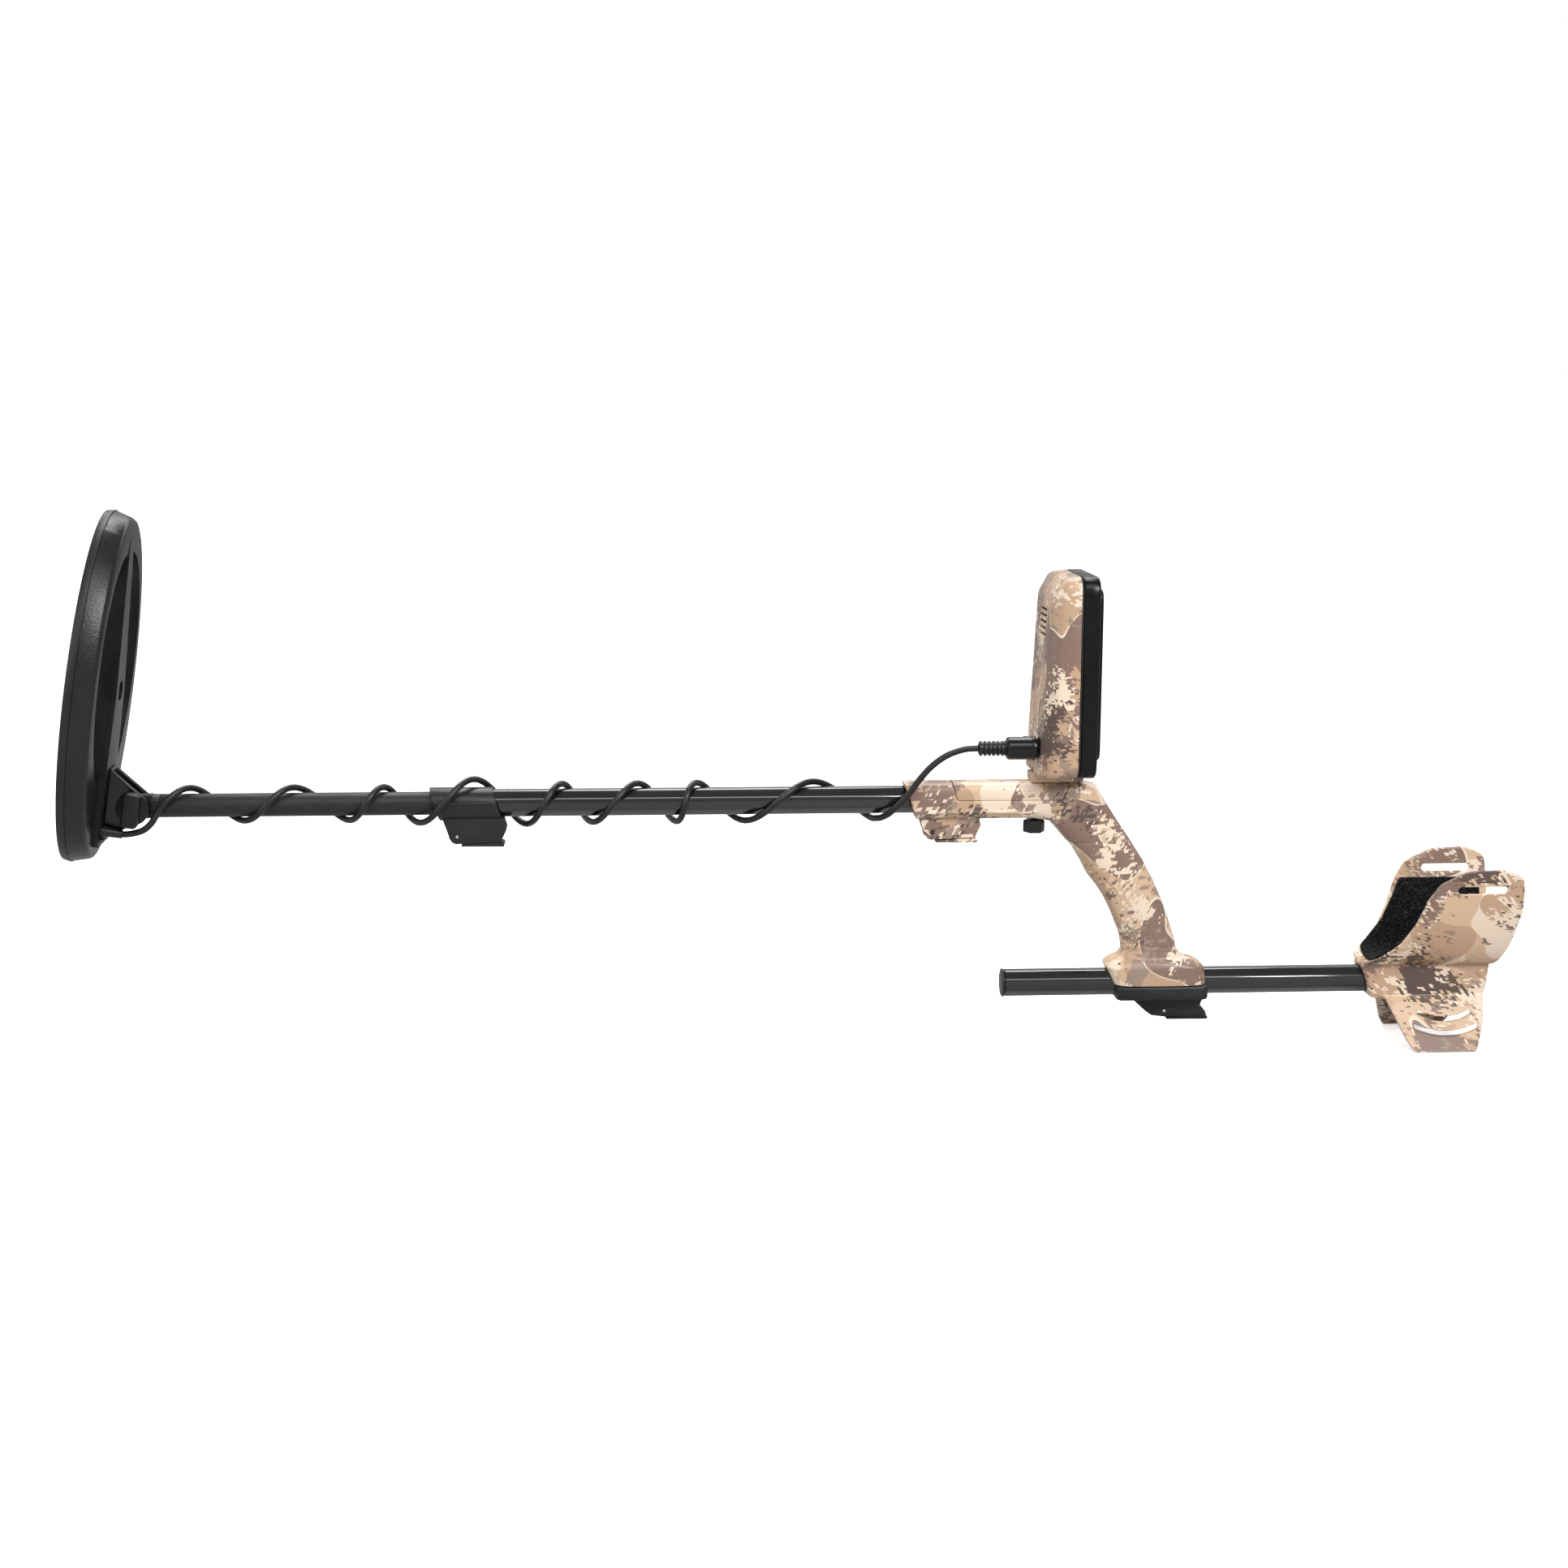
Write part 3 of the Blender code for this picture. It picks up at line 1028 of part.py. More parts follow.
def catmull(points, steps):
    padded = [points[0], *points, points[-1]]
    out = []
    for i in range(1, len(padded) - 2):
        a, b, c, d = (Vector(p) for p in padded[i - 1:i + 3])
        for step in range(steps):
            t = step / steps
            out.append(0.5 * ((2 * b) + (c - a) * t + (2 * a - 5 * b + 4 * c - d) * t * t
                              + (3 * b - a - 3 * c + d) * t ** 3))
    out.append(Vector(points[-1]))
    return out


def helix_x(turns):
    """Shaft position of the cable after a number of half turns, smooth between the listed ones."""
    index = min(max(int(turns), 0), len(HALF_TURN_X) - 2)
    t = turns - index
    before = HALF_TURN_X[max(index - 1, 0)]
    after = HALF_TURN_X[min(index + 2, len(HALF_TURN_X) - 1)]
    here, following = HALF_TURN_X[index], HALF_TURN_X[index + 1]
    start_slope = (following - before) / 2
    end_slope = (after - here) / 2
    return (here * (2 * t ** 3 - 3 * t ** 2 + 1) + following * (3 * t ** 2 - 2 * t ** 3)
            + start_slope * (t ** 3 - 2 * t ** 2 + t) + end_slope * (t ** 3 - t ** 2))


def helix_radius(turns):
    """The cable's distance from the shaft's axis: it rises over the lock and hangs a little loose."""
    over_lock = max(0.0, 1.0 - abs(turns - 7.05) / 1.6)
    on_middle = 1.0 if turns > 7.0 else 0.0
    loose = 0.0016 * sin(turns * 1.7) ** 2
    rest = 0.0124 + on_middle * 0.0023
    return rest + loose + (0.0186 - rest) * (3 * over_lock ** 2 - 2 * over_lock ** 3)


def helix_points(start, end, per_turn=7):
    """Points of the helix between two counts of half turns, which begin at the bottom.

    Its first and last stretches are short, so that the tube's ends lie square to it.
    """
    count = max(2, int((end - start) * per_turn))
    steps = [start + (end - start) * step / count for step in range(count + 1)]
    steps[1:1] = [start + END_TURN]
    steps[-1:-1] = [end - END_TURN]
    points = []
    for turns in steps:
        angle = pi * (turns + 1)
        radius = helix_radius(turns)
        points.append(Vector((helix_x(turns), radius * sin(angle), radius * cos(angle))))
    return points



def cable_node(name, points, frame):
    curve = bpy.data.curves.new(name, "CURVE")
    curve.dimensions = "3D"
    curve.bevel_depth = CABLE_RADIUS
    curve.bevel_resolution = 2
    curve.use_fill_caps = True
    spline = curve.splines.new("POLY")
    spline.points.add(len(points) - 1)
    for point, where in zip(spline.points, points):
        point.co = (*where, 1.0)
    curve.materials.append(MATERIALS["cable_rubber"])
    obj = bpy.data.objects.new(name, curve)
    obj.parent = frame
    PARTS.objects.link(obj)
    return obj


def shorten(points, gap, at_start):
    """Moves one end of a route inwards by gap."""
    points = list(points)
    end, inner = (0, 1) if at_start else (-1, -2)
    points[end] = points[end] + (points[inner] - points[end]).normalized() * gap
    return points


def make_cable(frame):
    lower = helix_points(HELIX_START, HELIX_MIDDLE)
    middle = helix_points(HELIX_MIDDLE, HELIX_END)
    front = catmull([Vector((-0.0075, GLAND_Y, -0.0197)), (0.0000, -0.0182, -0.0190),
                     (0.0085, -0.0180, -0.0165), (0.0145, -0.0170, -0.0115),
                     (0.0180, -0.0152, -0.0060)], 3)
    upper = catmull([(0.5950, -0.0070, -0.0140), (0.6010, -0.0135, -0.0095),
                     (0.6080, -0.0178, -0.0020), (0.6160, -0.0196, 0.0070),
                     (0.6250, -0.0203, 0.0195), (0.6350, -0.0203, 0.0305),
                     (0.6470, -0.0202, 0.0390), (0.6600, -0.0200, 0.0436),
                     (0.6690, SOCKET_Y, SOCKET_Z), (0.6716, SOCKET_Y, SOCKET_Z)], 3)
    front += helix_points(HELIX_START - 0.12, HELIX_START, 1)[1:]
    upper = helix_points(HELIX_END, HELIX_END + 0.12, 1)[:-1] + upper
    cable_node("coil_cable_front", shorten(front, GAP, False), frame)
    cable_node("coil_cable_lower", lower, frame)
    cable_node("coil_cable_middle", shorten(middle, GAP, True), frame)
    cable_node("coil_cable_upper", shorten(upper, GAP, True), frame)


def make_plug(frame):
    boot = [(0.0031, 0.0)]
    length = 0.0226
    for index in range(6):
        start = 0.0012 + 0.0035 * index
        boot += [(0.0062, start), (0.0062, start + 0.0020), (0.0047, start + 0.0022),
                 (0.0047, start + 0.0033)]
    boot += [(0.0062, length - 0.0012), (0.0062, length), (0.0, length), (0.0, 0.0009),
             (0.0031, 0.0009), (0.0031, 0.0)]
    turned("cable_boot", boot, frame, "cable_rubber", 14, axis="X",
           at=(0.6719, SOCKET_Y, SOCKET_Z))
    body = [(0.0, 0.0), (0.0078, 0.0), (0.0093, 0.0016), (0.0093, 0.0200), (0.0100, 0.0206),
            (0.0100, 0.0232), (0.0080, 0.0236), (0.0080, 0.0290), (0.0050, 0.0295),
            (0.0050, 0.0360), (0.0, 0.0360)]
    turned("cable_plug", body, frame, "plug_black", 24, axis="X",
           at=(0.6719 + length + GAP, SOCKET_Y, SOCKET_Z))


# ---------------------------------------------------------------- assembly

def main():
    material("coil_black", (0.020, 0.020, 0.021), 0.50)
    material("cover_black", (0.016, 0.016, 0.017), 0.42)
    material("yoke_black", (0.012, 0.012, 0.012), 0.22)
    material("knob_black", (0.013, 0.013, 0.013), 0.45)
    material("lock_black", (0.022, 0.022, 0.023), 0.42)
    material("shaft_grey", (0.040, 0.040, 0.042), 0.55)
    material("tube_gloss", (0.020, 0.020, 0.021), 0.25, 0.3)
    material("camouflage", (0.560, 0.410, 0.280), 0.42)
    material("bezel_black", (0.010, 0.010, 0.010), 0.30)
    material("window_clear", (0.20, 0.22, 0.22), 0.06)
    material("lcd_grey", (0.33, 0.37, 0.31), 0.35)
    material("key_grey", (0.10, 0.10, 0.10), 0.50)
    material("board_green", (0.02, 0.16, 0.06), 0.50)
    material("battery_blue", (0.03, 0.08, 0.25), 0.50)
    material("speaker_grey", (0.10, 0.10, 0.11), 0.50, 0.4)
    material("copper", (0.72, 0.32, 0.14), 0.35, 0.9)
    material("zinc", (0.70, 0.70, 0.70), 0.28, 1.0)
    material("washer_rubber", (0.020, 0.020, 0.020), 0.70)
    material("cable_rubber", (0.014, 0.014, 0.014), 0.38)
    material("plug_black", (0.014, 0.014, 0.014), 0.30)
    material("pad_black", (0.008, 0.008, 0.008), 0.95)

    shaft = frame_empty("shaft_frame", (0, 0, 0))
    coil = frame_empty("coil_pivot", (0, 0, 0), COIL_LEAN, shaft)
    make_coil_shells(coil)
    make_windings(coil)
    make_yoke(coil)
    make_pivot_hardware(coil)
    make_gland(coil)
    make_lower_shaft(shaft)
    octagon_tube("middle_shaft_tube", MIDDLE_START_X, MIDDLE_END_X, 0.0, shaft, "tube_gloss")
    make_lower_lock(shaft)
    make_handle(shaft)
    make_thumb_screw(shaft)
    make_base_clamp(shaft)
    make_arm(shaft)
    make_armrest(shaft)
    make_rear_case(shaft)
    make_display_foot(shaft)
    make_bezel(shaft)
    make_keypad(shaft)
    make_electronics(shaft)
    make_connectors(shaft)
    make_cable(shaft)
    make_plug(shaft)

    # The origin is the middle of the whole object's box on the ground.
    shaft.location = (-(FRONT_X + REAR_X) / 2, 0.0, -FOOT_Z)


main()
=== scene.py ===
"""Looks of a metal detector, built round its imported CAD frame.

Metres, in the frame's own space. Most places are given in the shaft frame, whose origin is the coil's
pivot: +X runs along the shaft towards the user and +Z is up.
"""

import json
from math import cos, pi, radians, sin

import bmesh
import bpy
import numpy as np
from mathutils import Matrix, Vector
from mathutils.bvhtree import BVHTree

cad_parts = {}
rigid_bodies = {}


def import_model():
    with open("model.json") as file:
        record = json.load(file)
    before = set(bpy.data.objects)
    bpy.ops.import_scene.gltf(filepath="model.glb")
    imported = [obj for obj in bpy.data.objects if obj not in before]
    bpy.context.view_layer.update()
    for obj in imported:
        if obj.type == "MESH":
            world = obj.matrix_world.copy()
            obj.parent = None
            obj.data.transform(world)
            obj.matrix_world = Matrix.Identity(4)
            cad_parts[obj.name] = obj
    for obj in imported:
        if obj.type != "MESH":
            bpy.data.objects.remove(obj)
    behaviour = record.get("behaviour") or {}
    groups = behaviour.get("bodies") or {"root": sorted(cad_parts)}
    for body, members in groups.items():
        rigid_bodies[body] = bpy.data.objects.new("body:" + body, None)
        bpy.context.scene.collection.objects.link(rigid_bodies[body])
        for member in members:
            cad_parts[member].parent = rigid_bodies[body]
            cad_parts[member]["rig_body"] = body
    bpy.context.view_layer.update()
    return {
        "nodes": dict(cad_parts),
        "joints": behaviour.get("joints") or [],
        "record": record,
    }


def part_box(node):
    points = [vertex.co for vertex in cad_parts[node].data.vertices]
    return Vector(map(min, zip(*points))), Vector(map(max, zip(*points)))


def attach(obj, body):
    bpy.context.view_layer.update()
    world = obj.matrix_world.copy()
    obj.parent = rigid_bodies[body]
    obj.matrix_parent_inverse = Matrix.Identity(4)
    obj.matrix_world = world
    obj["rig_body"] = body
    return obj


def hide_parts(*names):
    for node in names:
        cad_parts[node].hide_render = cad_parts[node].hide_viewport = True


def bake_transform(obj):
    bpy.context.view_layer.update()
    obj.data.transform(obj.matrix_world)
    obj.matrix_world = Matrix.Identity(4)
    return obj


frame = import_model()

NODES = frame["nodes"]
JOINTS = {joint["name"]: joint for joint in frame["joints"]}
SHAFT = Vector(JOINTS["coil_tilt"]["pos_m"])      # the shaft frame's origin

# Camera: a near side view, a little from above
SENSOR_WIDTH = 36.0
CAMERA_LENS = 56.72
CAMERA_PLACE = Vector((-0.1524, -1.9655, 0.5626))
CAMERA_YAW = radians(4.0)
CAMERA_DIP = radians(9.86)
CAMERA_ROLL = radians(0.22)

# Coil cable
CABLE_RADIUS = 0.0026
CABLE_SIDES = 16
GLAND_Y = -0.018
SOCKET_Y, SOCKET_Z = -0.020, 0.0445
HELIX_START = 0.55           # half turns at the ends of the cable's stretches
HELIX_MIDDLE = 6.05
HELIX_END = 15.9
HELIX_JOIN = 0.12            # half turns that the first and last stretch add to the helix
HALF_TURN_X = (0.006, 0.041, 0.083, 0.123, 0.166, 0.195, 0.221, 0.266, 0.308,
               0.337, 0.361, 0.397, 0.429, 0.445, 0.484, 0.537, 0.591)
ROUND_SHAFT_REACH = 0.0124   # the cable's distance from the axis, round the lower shaft
TUBE_EXTRA_REACH = 0.0023    # what the middle tube adds
LOCK_REACH = 0.0186          # over the lower lock
LOCK_TURN, LOCK_SPAN = 7.05, 1.6
SLACK = 0.0016               # how far the loosest turns hang off
ROUTE_STEPS = 6              # parts between two listed points of a smooth line
HELIX_STEPS = 14             # parts of a half turn


def at_shaft(x, y, z):
    """A point of the shaft frame, in the frame's own space."""
    return SHAFT + Vector((x, y, z))


# ---------------------------------------------------------------- node-tree helpers

class Shading:
    """A short way to write a material's node tree."""

    def __init__(self, name):
        self.material = bpy.data.materials.new(name)
        self.material.use_nodes = True
        self.tree = self.material.node_tree
        self.shader = self.tree.nodes["Principled BSDF"]
        self.place = self.node("ShaderNodeTexCoord").outputs["Object"]

    def node(self, kind, inputs=None, **settings):
        made = self.tree.nodes.new(kind)
        for key, value in settings.items():
            setattr(made, key, value)
        for key, value in (inputs or {}).items():
            self.feed(made.inputs[key], value)
        return made

    def feed(self, socket, value):
        if isinstance(value, bpy.types.NodeSocket):
            self.tree.links.new(value, socket)
        else:
            socket.default_value = value

    def math(self, operation, a, b=0.0, c=0.0):
        return self.node("ShaderNodeMath", {0: a, 1: b, 2: c}, operation=operation).outputs[0]

    def moved(self, vector, offset=(0, 0, 0), turn=(0, 0, 0), scale=(1, 1, 1)):
        return self.node("ShaderNodeMapping", {"Vector": vector, "Location": offset,
                                               "Rotation": turn, "Scale": scale}).outputs[0]

    def noise(self, scale, vector=None, detail=2.0, roughness=0.5, distortion=0.0):
        return self.node("ShaderNodeTexNoise",
                         {"Vector": vector or self.place, "Scale": scale, "Detail": detail,
                          "Roughness": roughness, "Distortion": distortion}).outputs["Fac"]

    def cells(self, scale, vector=None):
        return self.node("ShaderNodeTexVoronoi",
                         {"Vector": vector or self.place, "Scale": scale}).outputs["Distance"]

    def mix(self, factor, a, b):
        made = self.node("ShaderNodeMix", data_type="RGBA")
        self.feed(made.inputs["Factor"], factor)
        for socket, value in ((made.inputs["A"], a), (made.inputs["B"], b)):
            self.feed(socket, value if isinstance(value, bpy.types.NodeSocket) else (*value, 1.0))
        return made.outputs["Result"]

    def spread(self, value, low, high, to_low, to_high):
        return self.node("ShaderNodeMapRange",
                         {"Value": value, "From Min": low, "From Max": high,
                          "To Min": to_low, "To Max": to_high}).outputs["Result"]

    def bump(self, height, distance):
        return self.node("ShaderNodeBump",
                         {"Height": height, "Distance": distance, "Strength": 1.0}).outputs["Normal"]

    def finish(self, **inputs):
        for key, value in inputs.items():
            socket = self.shader.inputs[key.replace("_", " ")]
            if isinstance(value, tuple) and len(value) == 3:
                value = (*value, 1.0)
            self.feed(socket, value)
        return self.material


# ---------------------------------------------------------------- materials

def moulded(name, colour, roughness, grain=1400.0, depth=0.00006, patch=0.10, coat=0.0, specular=0.4):
    """Moulded plastic: a grained skin, with patches that are a little duller or paler."""
    s = Shading(name)
    patches = s.noise(26.0, detail=4.0, roughness=0.6)
    fine = s.noise(grain, detail=3.0, roughness=0.65)
    pits = s.cells(grain * 0.7)
    pale = tuple(min(1.0, channel * 1.5 + 0.004) for channel in colour)
    tint = s.mix(s.spread(patches, 0.35, 0.7, 0.0, 0.8), colour, pale)
    dull = s.math("ADD", s.spread(patches, 0.3, 0.7, roughness - patch / 2, roughness + patch / 2),
                  s.spread(fine, 0.3, 0.7, -0.05, 0.05))
    height = s.math("ADD", fine, s.math("MULTIPLY", pits, 0.6))
    return s.finish(Base_Color=tint, Roughness=dull, Normal=s.bump(height, depth),
                    Coat_Weight=coat, Coat_Roughness=0.2, Specular_IOR_Level=specular)


def glossy_tube(name):
    """Gloss coating on drawn tube: a clear top coat over black, with faint lengthwise draw lines."""
    s = Shading(name)
    stretched = s.moved(s.place, scale=(1.0, 40.0, 40.0))
    lines = s.noise(60.0, stretched, detail=3.0)
    orange_peel = s.noise(420.0, detail=1.0)
    smears = s.noise(14.0, detail=4.0, roughness=0.6)
    height = s.math("ADD", s.math("MULTIPLY", lines, 0.35), orange_peel)
    return s.finish(Base_Color=s.mix(smears, (0.004, 0.004, 0.004), (0.008, 0.008, 0.008)),
                    Roughness=s.spread(smears, 0.3, 0.7, 0.22, 0.32),
                    Normal=s.bump(height, 0.00002), Coat_Weight=1.0, Coat_Roughness=0.06,
                    Coat_IOR=1.6, Specular_IOR_Level=0.3)


def carbon_grey(name):
    """Fibre-filled shaft: matte dark grey with short fibres along it."""
    s = Shading(name)
    stretched = s.moved(s.place, scale=(0.12, 1.0, 1.0))
    fibres = s.noise(900.0, stretched, detail=2.0, roughness=0.7)
    patches = s.noise(18.0, detail=4.0)
    tint = s.mix(s.spread(fibres, 0.35, 0.65, 0.0, 1.0), (0.013, 0.013, 0.014), (0.022, 0.022, 0.023))
    return s.finish(Base_Color=tint, Roughness=s.spread(patches, 0.3, 0.7, 0.42, 0.54),
                    Normal=s.bump(fibres, 0.00002), Specular_IOR_Level=0.4)


CREAM = (0.86, 0.70, 0.545)
SAND = (0.68, 0.475, 0.310)
TAN = (0.53, 0.348, 0.222)
TAUPE = (0.335, 0.245, 0.185)
MAUVE = (0.240, 0.150, 0.115)
UMBER = (0.095, 0.062, 0.048)
PIXEL = 0.0015               # side of one camouflage pixel


def camouflage(name, offset, turn, slant, fleck, blob_scale, pale):
    """Desert camouflage film: smooth blobs, then pixel-edged clusters of slanting flecks.

    slant leans the flecks, fleck is their length over their height, and the larger pale is, the more
    of the light base colours stays in sight.
    """
    s = Shading(name)
    place = s.moved(s.place, offset=offset, turn=turn)
    colour = CREAM
    # Each blob layer: colour, scale, offset, level that its noise must pass, pale rim inside the edge
    blobs = ((SAND, 0.8, (0.0, 0.0, 0.0), 0.41, 0.0), (TAN, 1.0, (5.1, 2.3, 8.4), 0.555, 0.0),
             (TAUPE, 1.15, (9.7, 6.1, 1.2), 0.60, 0.0), (MAUVE, 1.05, (3.1, 1.7, 5.3), 0.575, 0.018))
    for tint, scale, shift, level, rim in blobs:
        level += pale
        field = s.noise(scale * blob_scale, s.moved(place, offset=shift), detail=1.0, roughness=0.3,
                        distortion=0.35)
        if rim:
            colour = s.mix(s.math("GREATER_THAN", field, level - rim), colour, CREAM)
        colour = s.mix(s.math("GREATER_THAN", field, level), colour, tint)

    axes = s.node("ShaderNodeSeparateXYZ", {0: place}).outputs
    slanted = s.node("ShaderNodeCombineXYZ",
                     {0: s.math("MULTIPLY_ADD", axes[2], slant, axes[0]), 1: axes[1], 2: axes[2]})
    steps = s.node("ShaderNodeVectorMath", {0: slanted.outputs[0], 1: (PIXEL * fleck, PIXEL, PIXEL)},
                   operation="SNAP").outputs[0]
    # Each pixel layer: colour, pixel noise scale, offset, cluster noise scale, level that both must pass
    layers = ((TAUPE, 130.0, (1.3, 0.2, 2.9), 24.0, 1.42), (TAN, 120.0, (7.7, 5.2, 3.6), 22.0, 1.41),
              (CREAM, 220.0, (4.4, 2.1, 0.7), 26.0, 1.455), (MAUVE, 150.0, (6.2, 3.9, 7.7), 26.0, 1.46),
              (UMBER, 240.0, (2.6, 8.3, 1.1), 24.0, 1.475))
    for tint, scale, shift, cluster_scale, level in layers:
        pixels = s.noise(scale, s.moved(steps, offset=shift), detail=2.0, roughness=0.7)
        clusters = s.noise(cluster_scale, s.moved(place, offset=shift), detail=1.0)
        if tint != CREAM:
            level += pale
        chosen = s.math("GREATER_THAN", s.math("MULTIPLY_ADD", clusters, 1.5, pixels), level)
        colour = s.mix(chosen, colour, tint)

    patches = s.noise(30.0, detail=3.0)
    grain = s.noise(1500.0, detail=2.0)
    film = s.noise(160.0, detail=1.0)
    height = s.math("ADD", grain, s.math("MULTIPLY", film, 0.6))
    return s.finish(Base_Color=s.mix(s.spread(patches, 0.3, 0.7, 0.0, 0.10), colour, TAUPE),
                    Roughness=s.spread(patches, 0.3, 0.7, 0.36, 0.46),
                    Normal=s.bump(height, 0.00004), Coat_Weight=0.25, Coat_Roughness=0.25)


def plated(name):
    """Bright zinc plate with turning marks."""
    s = Shading(name)
    turned = s.noise(700.0, s.moved(s.place, scale=(1.0, 0.1, 1.0)), detail=2.0)
    patches = s.noise(90.0, detail=3.0)
    return s.finish(Base_Color=s.mix(patches, (0.62, 0.62, 0.63), (0.78, 0.78, 0.77)), Metallic=1.0,
                    Roughness=s.spread(turned, 0.3, 0.7, 0.16, 0.34), Normal=s.bump(turned, 0.00002))


def cable_jacket(name):
    """Satin jacket, a little polished where it rubs."""
    s = Shading(name)
    rub = s.noise(60.0, detail=3.0)
    grain = s.noise(1600.0, detail=2.0)
    return s.finish(Base_Color=s.mix(rub, (0.006, 0.006, 0.006), (0.012, 0.012, 0.012)),
                    Roughness=s.spread(rub, 0.3, 0.7, 0.30, 0.44), Normal=s.bump(grain, 0.00002))


def looped_fabric(name):
    """Black loop fabric: tiny loops, with glints painted into the colour as pale specks here and there."""
    s = Shading(name)
    loops = s.cells(620.0, s.moved(s.place, scale=(1.0, 1.0, 1.5)))
    fuzz = s.noise(1300.0, detail=3.0, roughness=0.7)
    # Painted glints: pale specks in the base colour stand in for light caught by the loops.
    painted_glints = s.spread(s.noise(950.0, detail=2.0, roughness=0.9), 0.56, 0.70, 0.0, 1.0)
    height = s.math("SUBTRACT", fuzz, s.math("MULTIPLY", loops, 1.4))
    return s.finish(Base_Color=s.mix(painted_glints, (0.003, 0.003, 0.003), (0.13, 0.13, 0.125)),
                    Roughness=0.9, Normal=s.bump(height, 0.0006), Sheen_Weight=0.02,
                    Sheen_Roughness=0.4, Specular_IOR_Level=0.12)


def window_glass(name):
    """Clear, slightly smoky window."""
    s = Shading(name)
    smears = s.noise(40.0, detail=4.0)
    return s.finish(Base_Color=(0.30, 0.32, 0.32), Roughness=s.spread(smears, 0.4, 0.7, 0.03, 0.09),
                    Alpha=0.28, IOR=1.5)


def lcd_glass(name):
    """An unlit reflective display, with its faint pixel columns."""
    s = Shading(name)
    rows = s.node("ShaderNodeTexWave", {"Vector": s.place, "Scale": 700.0},
                  wave_type="BANDS", bands_direction="Y").outputs["Fac"]
    dark_rows = s.math("MULTIPLY", rows, 0.35)
    return s.finish(Base_Color=s.mix(dark_rows, (0.30, 0.34, 0.29), (0.24, 0.28, 0.23)), Roughness=0.32)


def printed_board(name):
    """Green solder mask over a grid of tracks."""
    s = Shading(name)
    tracks = s.node("ShaderNodeTexBrick",
                    {"Vector": s.moved(s.place, turn=(0, pi / 2, 0)), "Scale": 260.0,
                     "Mortar Size": 0.03}).outputs["Fac"]
    return s.finish(Base_Color=s.mix(tracks, (0.012, 0.12, 0.045), (0.05, 0.25, 0.10)), Roughness=0.38)


def wound_copper(name):
    """Varnished wire in a tight bundle."""
    s = Shading(name)
    wires = s.noise(1500.0, s.moved(s.place, scale=(1.0, 0.15, 0.15)), detail=2.0)
    return s.finish(Base_Color=s.mix(wires, (0.30, 0.10, 0.035), (0.62, 0.27, 0.11)), Metallic=0.9,
                    Roughness=0.34, Normal=s.bump(wires, 0.0002))


MATERIALS = {
    "coil_black": moulded("coil_skin", (0.008, 0.008, 0.008), 0.30, 900.0, 0.00010),
    "cover_black": moulded("cover_skin", (0.010, 0.010, 0.010), 0.42, 1500.0, 0.00005),
    "yoke_black": moulded("yoke_skin", (0.004, 0.004, 0.004), 0.20, 1600.0, 0.00002, 0.06, 0.4, 0.3),
    "knob_black": moulded("knob_skin", (0.006, 0.006, 0.006), 0.36, 1300.0, 0.00006),
    "lock_black": moulded("lock_skin", (0.012, 0.012, 0.012), 0.38, 1200.0, 0.00006),
    "shaft_grey": carbon_grey("shaft_skin"),
    "tube_gloss": glossy_tube("tube_coat"),
    "bezel_black": moulded("bezel_skin", (0.003, 0.003, 0.003), 0.26, 1500.0, 0.00003, 0.06, 0.0, 0.25),
    "window_clear": window_glass("window_glass"),
    "lcd_grey": lcd_glass("lcd_glass"),
    "key_grey": moulded("key_skin", (0.085, 0.085, 0.088), 0.55, 1500.0, 0.00004),
    "board_green": printed_board("board_skin"),
    "battery_blue": moulded("battery_wrap", (0.025, 0.07, 0.22), 0.32, 300.0, 0.00005),
    "speaker_grey": moulded("speaker_paint", (0.10, 0.10, 0.11), 0.42, 900.0, 0.00005),
    "copper": wound_copper("copper_wire"),
    "zinc": plated("bright_plate"),
    # The upper lock pin's dark copy: its bright zinc is painted over with the shade it sits in.
    "pin_in_painted_shade": moulded("pin_painted_shade", (0.05, 0.045, 0.04), 0.35, 900.0, 0.00003),
    "washer_rubber": moulded("washer_skin", (0.018, 0.018, 0.018), 0.66, 900.0, 0.00008),
    "cable_rubber": cable_jacket("cable_jacket"),
    "plug_black": moulded("plug_skin", (0.005, 0.005, 0.005), 0.20, 1500.0, 0.00002, 0.06),
    "pad_black": looped_fabric("loop_fabric"),
}
CAMOUFLAGE = {
    "handle": camouflage("camouflage_handle", (0.30, 0.10, 0.20), (0.0, radians(62), 0.0),
                         slant=0.6, fleck=2.2, blob_scale=21.0, pale=0.02),
    "case": camouflage("camouflage_case", (1.10, 0.40, 0.90), (0.0, radians(8), 0.0),
                       slant=0.5, fleck=1.9, blob_scale=21.0, pale=-0.01),
    "arm": camouflage("camouflage_cuff", (2.20, 0.70, 1.60), (0.0, radians(-4), 0.0),
                      slant=0.8, fleck=2.0, blob_scale=18.0, pale=0.04),
}
CASE_NODES = ("display_rear_case", "display_foot")


# ---------------------------------------------------------------- CAD nodes: smooth shading and soft edges

def new_interface(name):
    group = bpy.data.node_groups.new(name, "GeometryNodeTree")
    group.interface.new_socket("Geometry", in_out="INPUT", socket_type="NodeSocketGeometry")
    group.interface.new_socket("Geometry", in_out="OUTPUT", socket_type="NodeSocketGeometry")
    return group, group.nodes.new("NodeGroupInput"), group.nodes.new("NodeGroupOutput")


def welding_group():
    """Joins the split corners of an imported mesh and drops their stored normals."""
    group, start, end = new_interface("weld_corners")
    merge = group.nodes.new("GeometryNodeMergeByDistance")
    merge.inputs["Distance"].default_value = WELD_DISTANCE
    remove = group.nodes.new("GeometryNodeRemoveAttribute")
    remove.inputs["Name"].default_value = "custom_normal"
    group.links.new(start.outputs[0], merge.inputs["Geometry"])
    group.links.new(merge.outputs[0], remove.inputs["Geometry"])
    group.links.new(remove.outputs[0], end.inputs[0])
    return group


